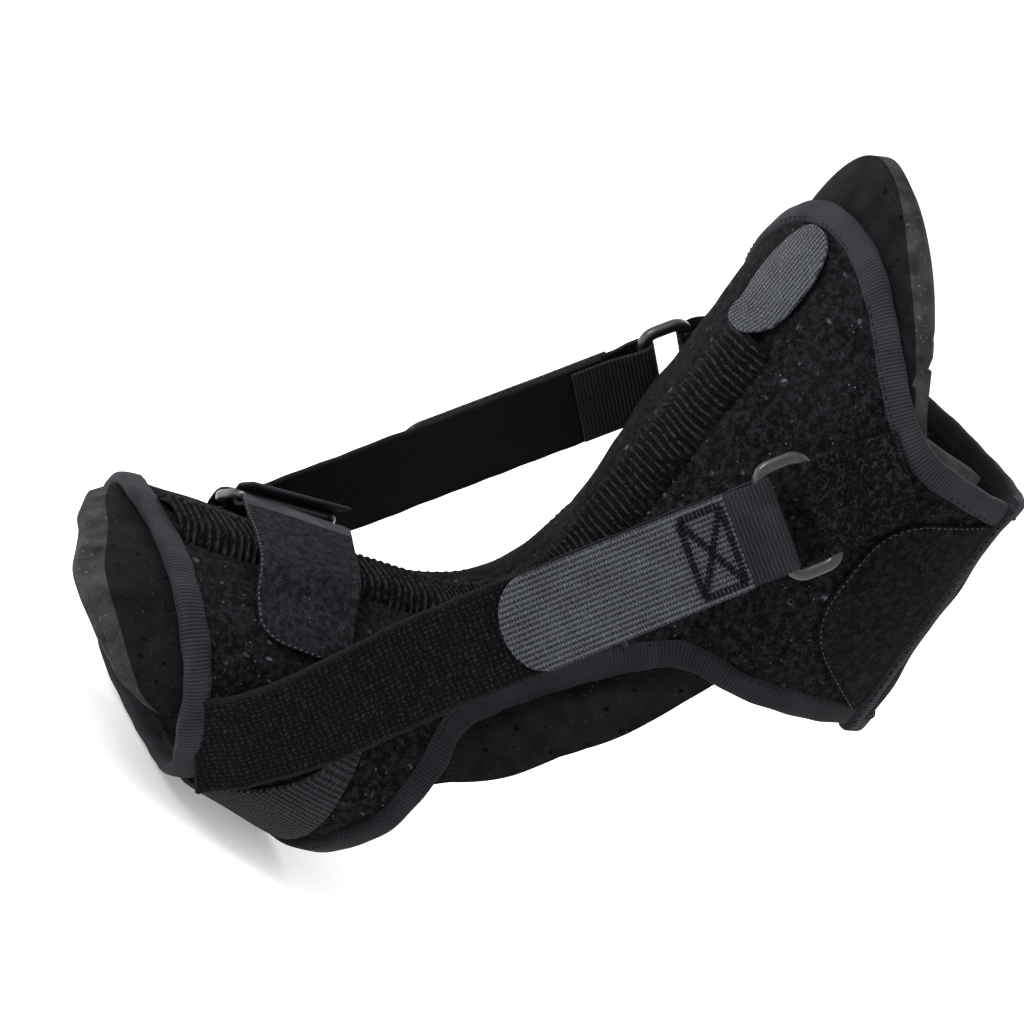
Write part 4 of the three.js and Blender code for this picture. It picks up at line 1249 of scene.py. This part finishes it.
def build_forefoot_tab():
    share = np.linspace(0, 1, 110)
    run = FORE_LENGTH * (1 - (1 - share) ** 1.5)
    into_round = np.clip(run - (FORE_LENGTH - FORE_ROUND), 0, FORE_ROUND * 0.995)
    rounding = FORE_ROUND - np.sqrt(FORE_ROUND**2 - into_round**2)
    half = FORE_HALF * (1 - FORE_TAPER * run / FORE_LENGTH) - rounding
    v = rows_of(FORE_BAR + (FORE_START + run) / ARC_PER_DEGREE, 50)
    middle = FORE_U + FORE_DRIFT * run / FORE_LENGTH - FORE_SWEEP * np.sin(math.pi * run / FORE_LENGTH)
    u = middle[:, None] + half[:, None] * np.linspace(-1, 1, 50)
    at_ring, on_shell = FORE_OFF - 1.2, ON_SHELL + 0.3
    level = at_ring + (on_shell - at_ring) * smoothstep(v, 12, 30) + 0.3 * soft_noise(u, v, 7, 71, 2)
    fore_tab = sheet("forefoot_tab_cloth", limb(u, v, level + 1.5), limb(u, v, level),
                     [TAB_CLOTH, DARK_HOOK, TAB_CLOTH, CREASE_BAND], np.stack([u, v * ARC_PER_DEGREE], -1))
    crease_end = v[0, 0] * ARC_PER_DEGREE + CREASE_WIDTH
    for polygon in fore_tab.data.polygons:
        placed = fore_tab.data.uv_layers[0].data[polygon.loop_start].uv[1]
        if polygon.material_index == 0 and placed < crease_end * MM:
            polygon.material_index = CREASE_SLOT
    rides(fore_tab, "forefoot_tab", "black_hook_tape", "forefoot_tab")
    rim_u = np.concatenate([u[:, 0], u[-1, 1:]])
    rim_v = np.concatenate([v[:, 0], v[-1, 1:]])
    rim_level = np.concatenate([level[:, 0], level[-1, 1:]])
    points, normals = even(*edge_line(rim_u, rim_v, rim_level + 1.35), 0.5, soften=1)
    fore_thread = stitches("forefoot_tab_thread", points, normals, pitch=2.0, length=1.7, radius=0.3,
                           material=PALE_THREAD)
    rides(fore_thread, "forefoot_tab", "black_hook_tape")


build_forefoot_tab()

# ---------------------------------------------------------------- camera, floor and lights
CAMERA_AZIMUTH, CAMERA_ELEVATION, CAMERA_ROLL = np.radians([51.294, 11.165, 39.674]).tolist()
CAMERA_DISTANCE, LENS = 1203.8, 132.98
LOOKED_AT, AIM_RIGHT, AIM_UP = np.array([0.0, -40.0, 20.0]), -20.74, 32.45

back = Vector((math.sin(CAMERA_AZIMUTH) * math.cos(CAMERA_ELEVATION),
               -math.cos(CAMERA_AZIMUTH) * math.cos(CAMERA_ELEVATION), math.sin(CAMERA_ELEVATION)))
level_right = Vector((math.cos(CAMERA_AZIMUTH), math.sin(CAMERA_AZIMUTH), 0))
level_up = level_right.cross(-back)
right = level_right * math.cos(CAMERA_ROLL) + level_up * math.sin(CAMERA_ROLL)
up = level_up * math.cos(CAMERA_ROLL) - level_right * math.sin(CAMERA_ROLL)
target = Vector(LOOKED_AT * MM)
place = target + back * CAMERA_DISTANCE * MM
aim = target + right * AIM_RIGHT * MM + up * AIM_UP * MM
z_axis = (place - aim).normalized()
x_axis = up.cross(z_axis).normalized()
y_axis = z_axis.cross(x_axis)
camera = bpy.data.objects.new("camera", bpy.data.cameras.new("camera"))
bpy.context.scene.collection.objects.link(camera)
camera.data.sensor_width = 36
camera.data.lens = LENS
camera.matrix_world = Matrix.Translation(place) @ Matrix((x_axis, y_axis, z_axis)).transposed().to_4x4()
bpy.context.scene.camera = camera

paper = Nodes("floor")
tone = paper.noise(paper.object_place(), 3)
paper.link(paper.mix(tone, "fcfcfc", "fefefe"), "Base Color")
paper.shader.inputs["Emission Color"].default_value = (1, 1, 1, 1)
paper.shader.inputs["Emission Strength"].default_value = 0.3
FLOOR_HALF = 60000
floor_corners = [(x * FLOOR_HALF, y * FLOOR_HALF, 0) for x, y in ((-1, -1), (1, -1), (1, 1), (-1, 1))]
floor_sheet = paper.finish(roughness=0.9, specular=0.1)
floor = make_object("floor", floor_corners, [(0, 1, 2, 3)], [floor_sheet])
floor.location.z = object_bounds()[0].z

world = bpy.data.worlds.new("studio")
bpy.context.scene.world = world
world.use_nodes = True
world.node_tree.nodes["Background"].inputs["Color"].default_value = (1, 1, 1, 1)
world.node_tree.nodes["Background"].inputs["Strength"].default_value = 1.06
bpy.context.scene.view_settings.view_transform = "Standard"


def softbox(name, direction, distance, size, power):
    lamp = bpy.data.lights.new(name, "AREA")
    lamp.shape = "DISK"
    lamp.size = size
    lamp.energy = power
    obj = bpy.data.objects.new(name, lamp)
    bpy.context.scene.collection.objects.link(obj)
    obj.location = target + direction.normalized() * distance
    obj.rotation_mode = "QUATERNION"
    obj.rotation_quaternion = direction.to_track_quat("Z", "Y")


softbox("key", up * 0.8 + back * 0.6 - right * 0.35, 1.4, 0.7, 15)
softbox("side", right * 0.8 + up * 0.5 + back * 0.2, 1.6, 0.9, 4)
softbox("rear", -back * 0.8 + Vector((0, 0, 0.7)), 1.6, 1.0, 6)
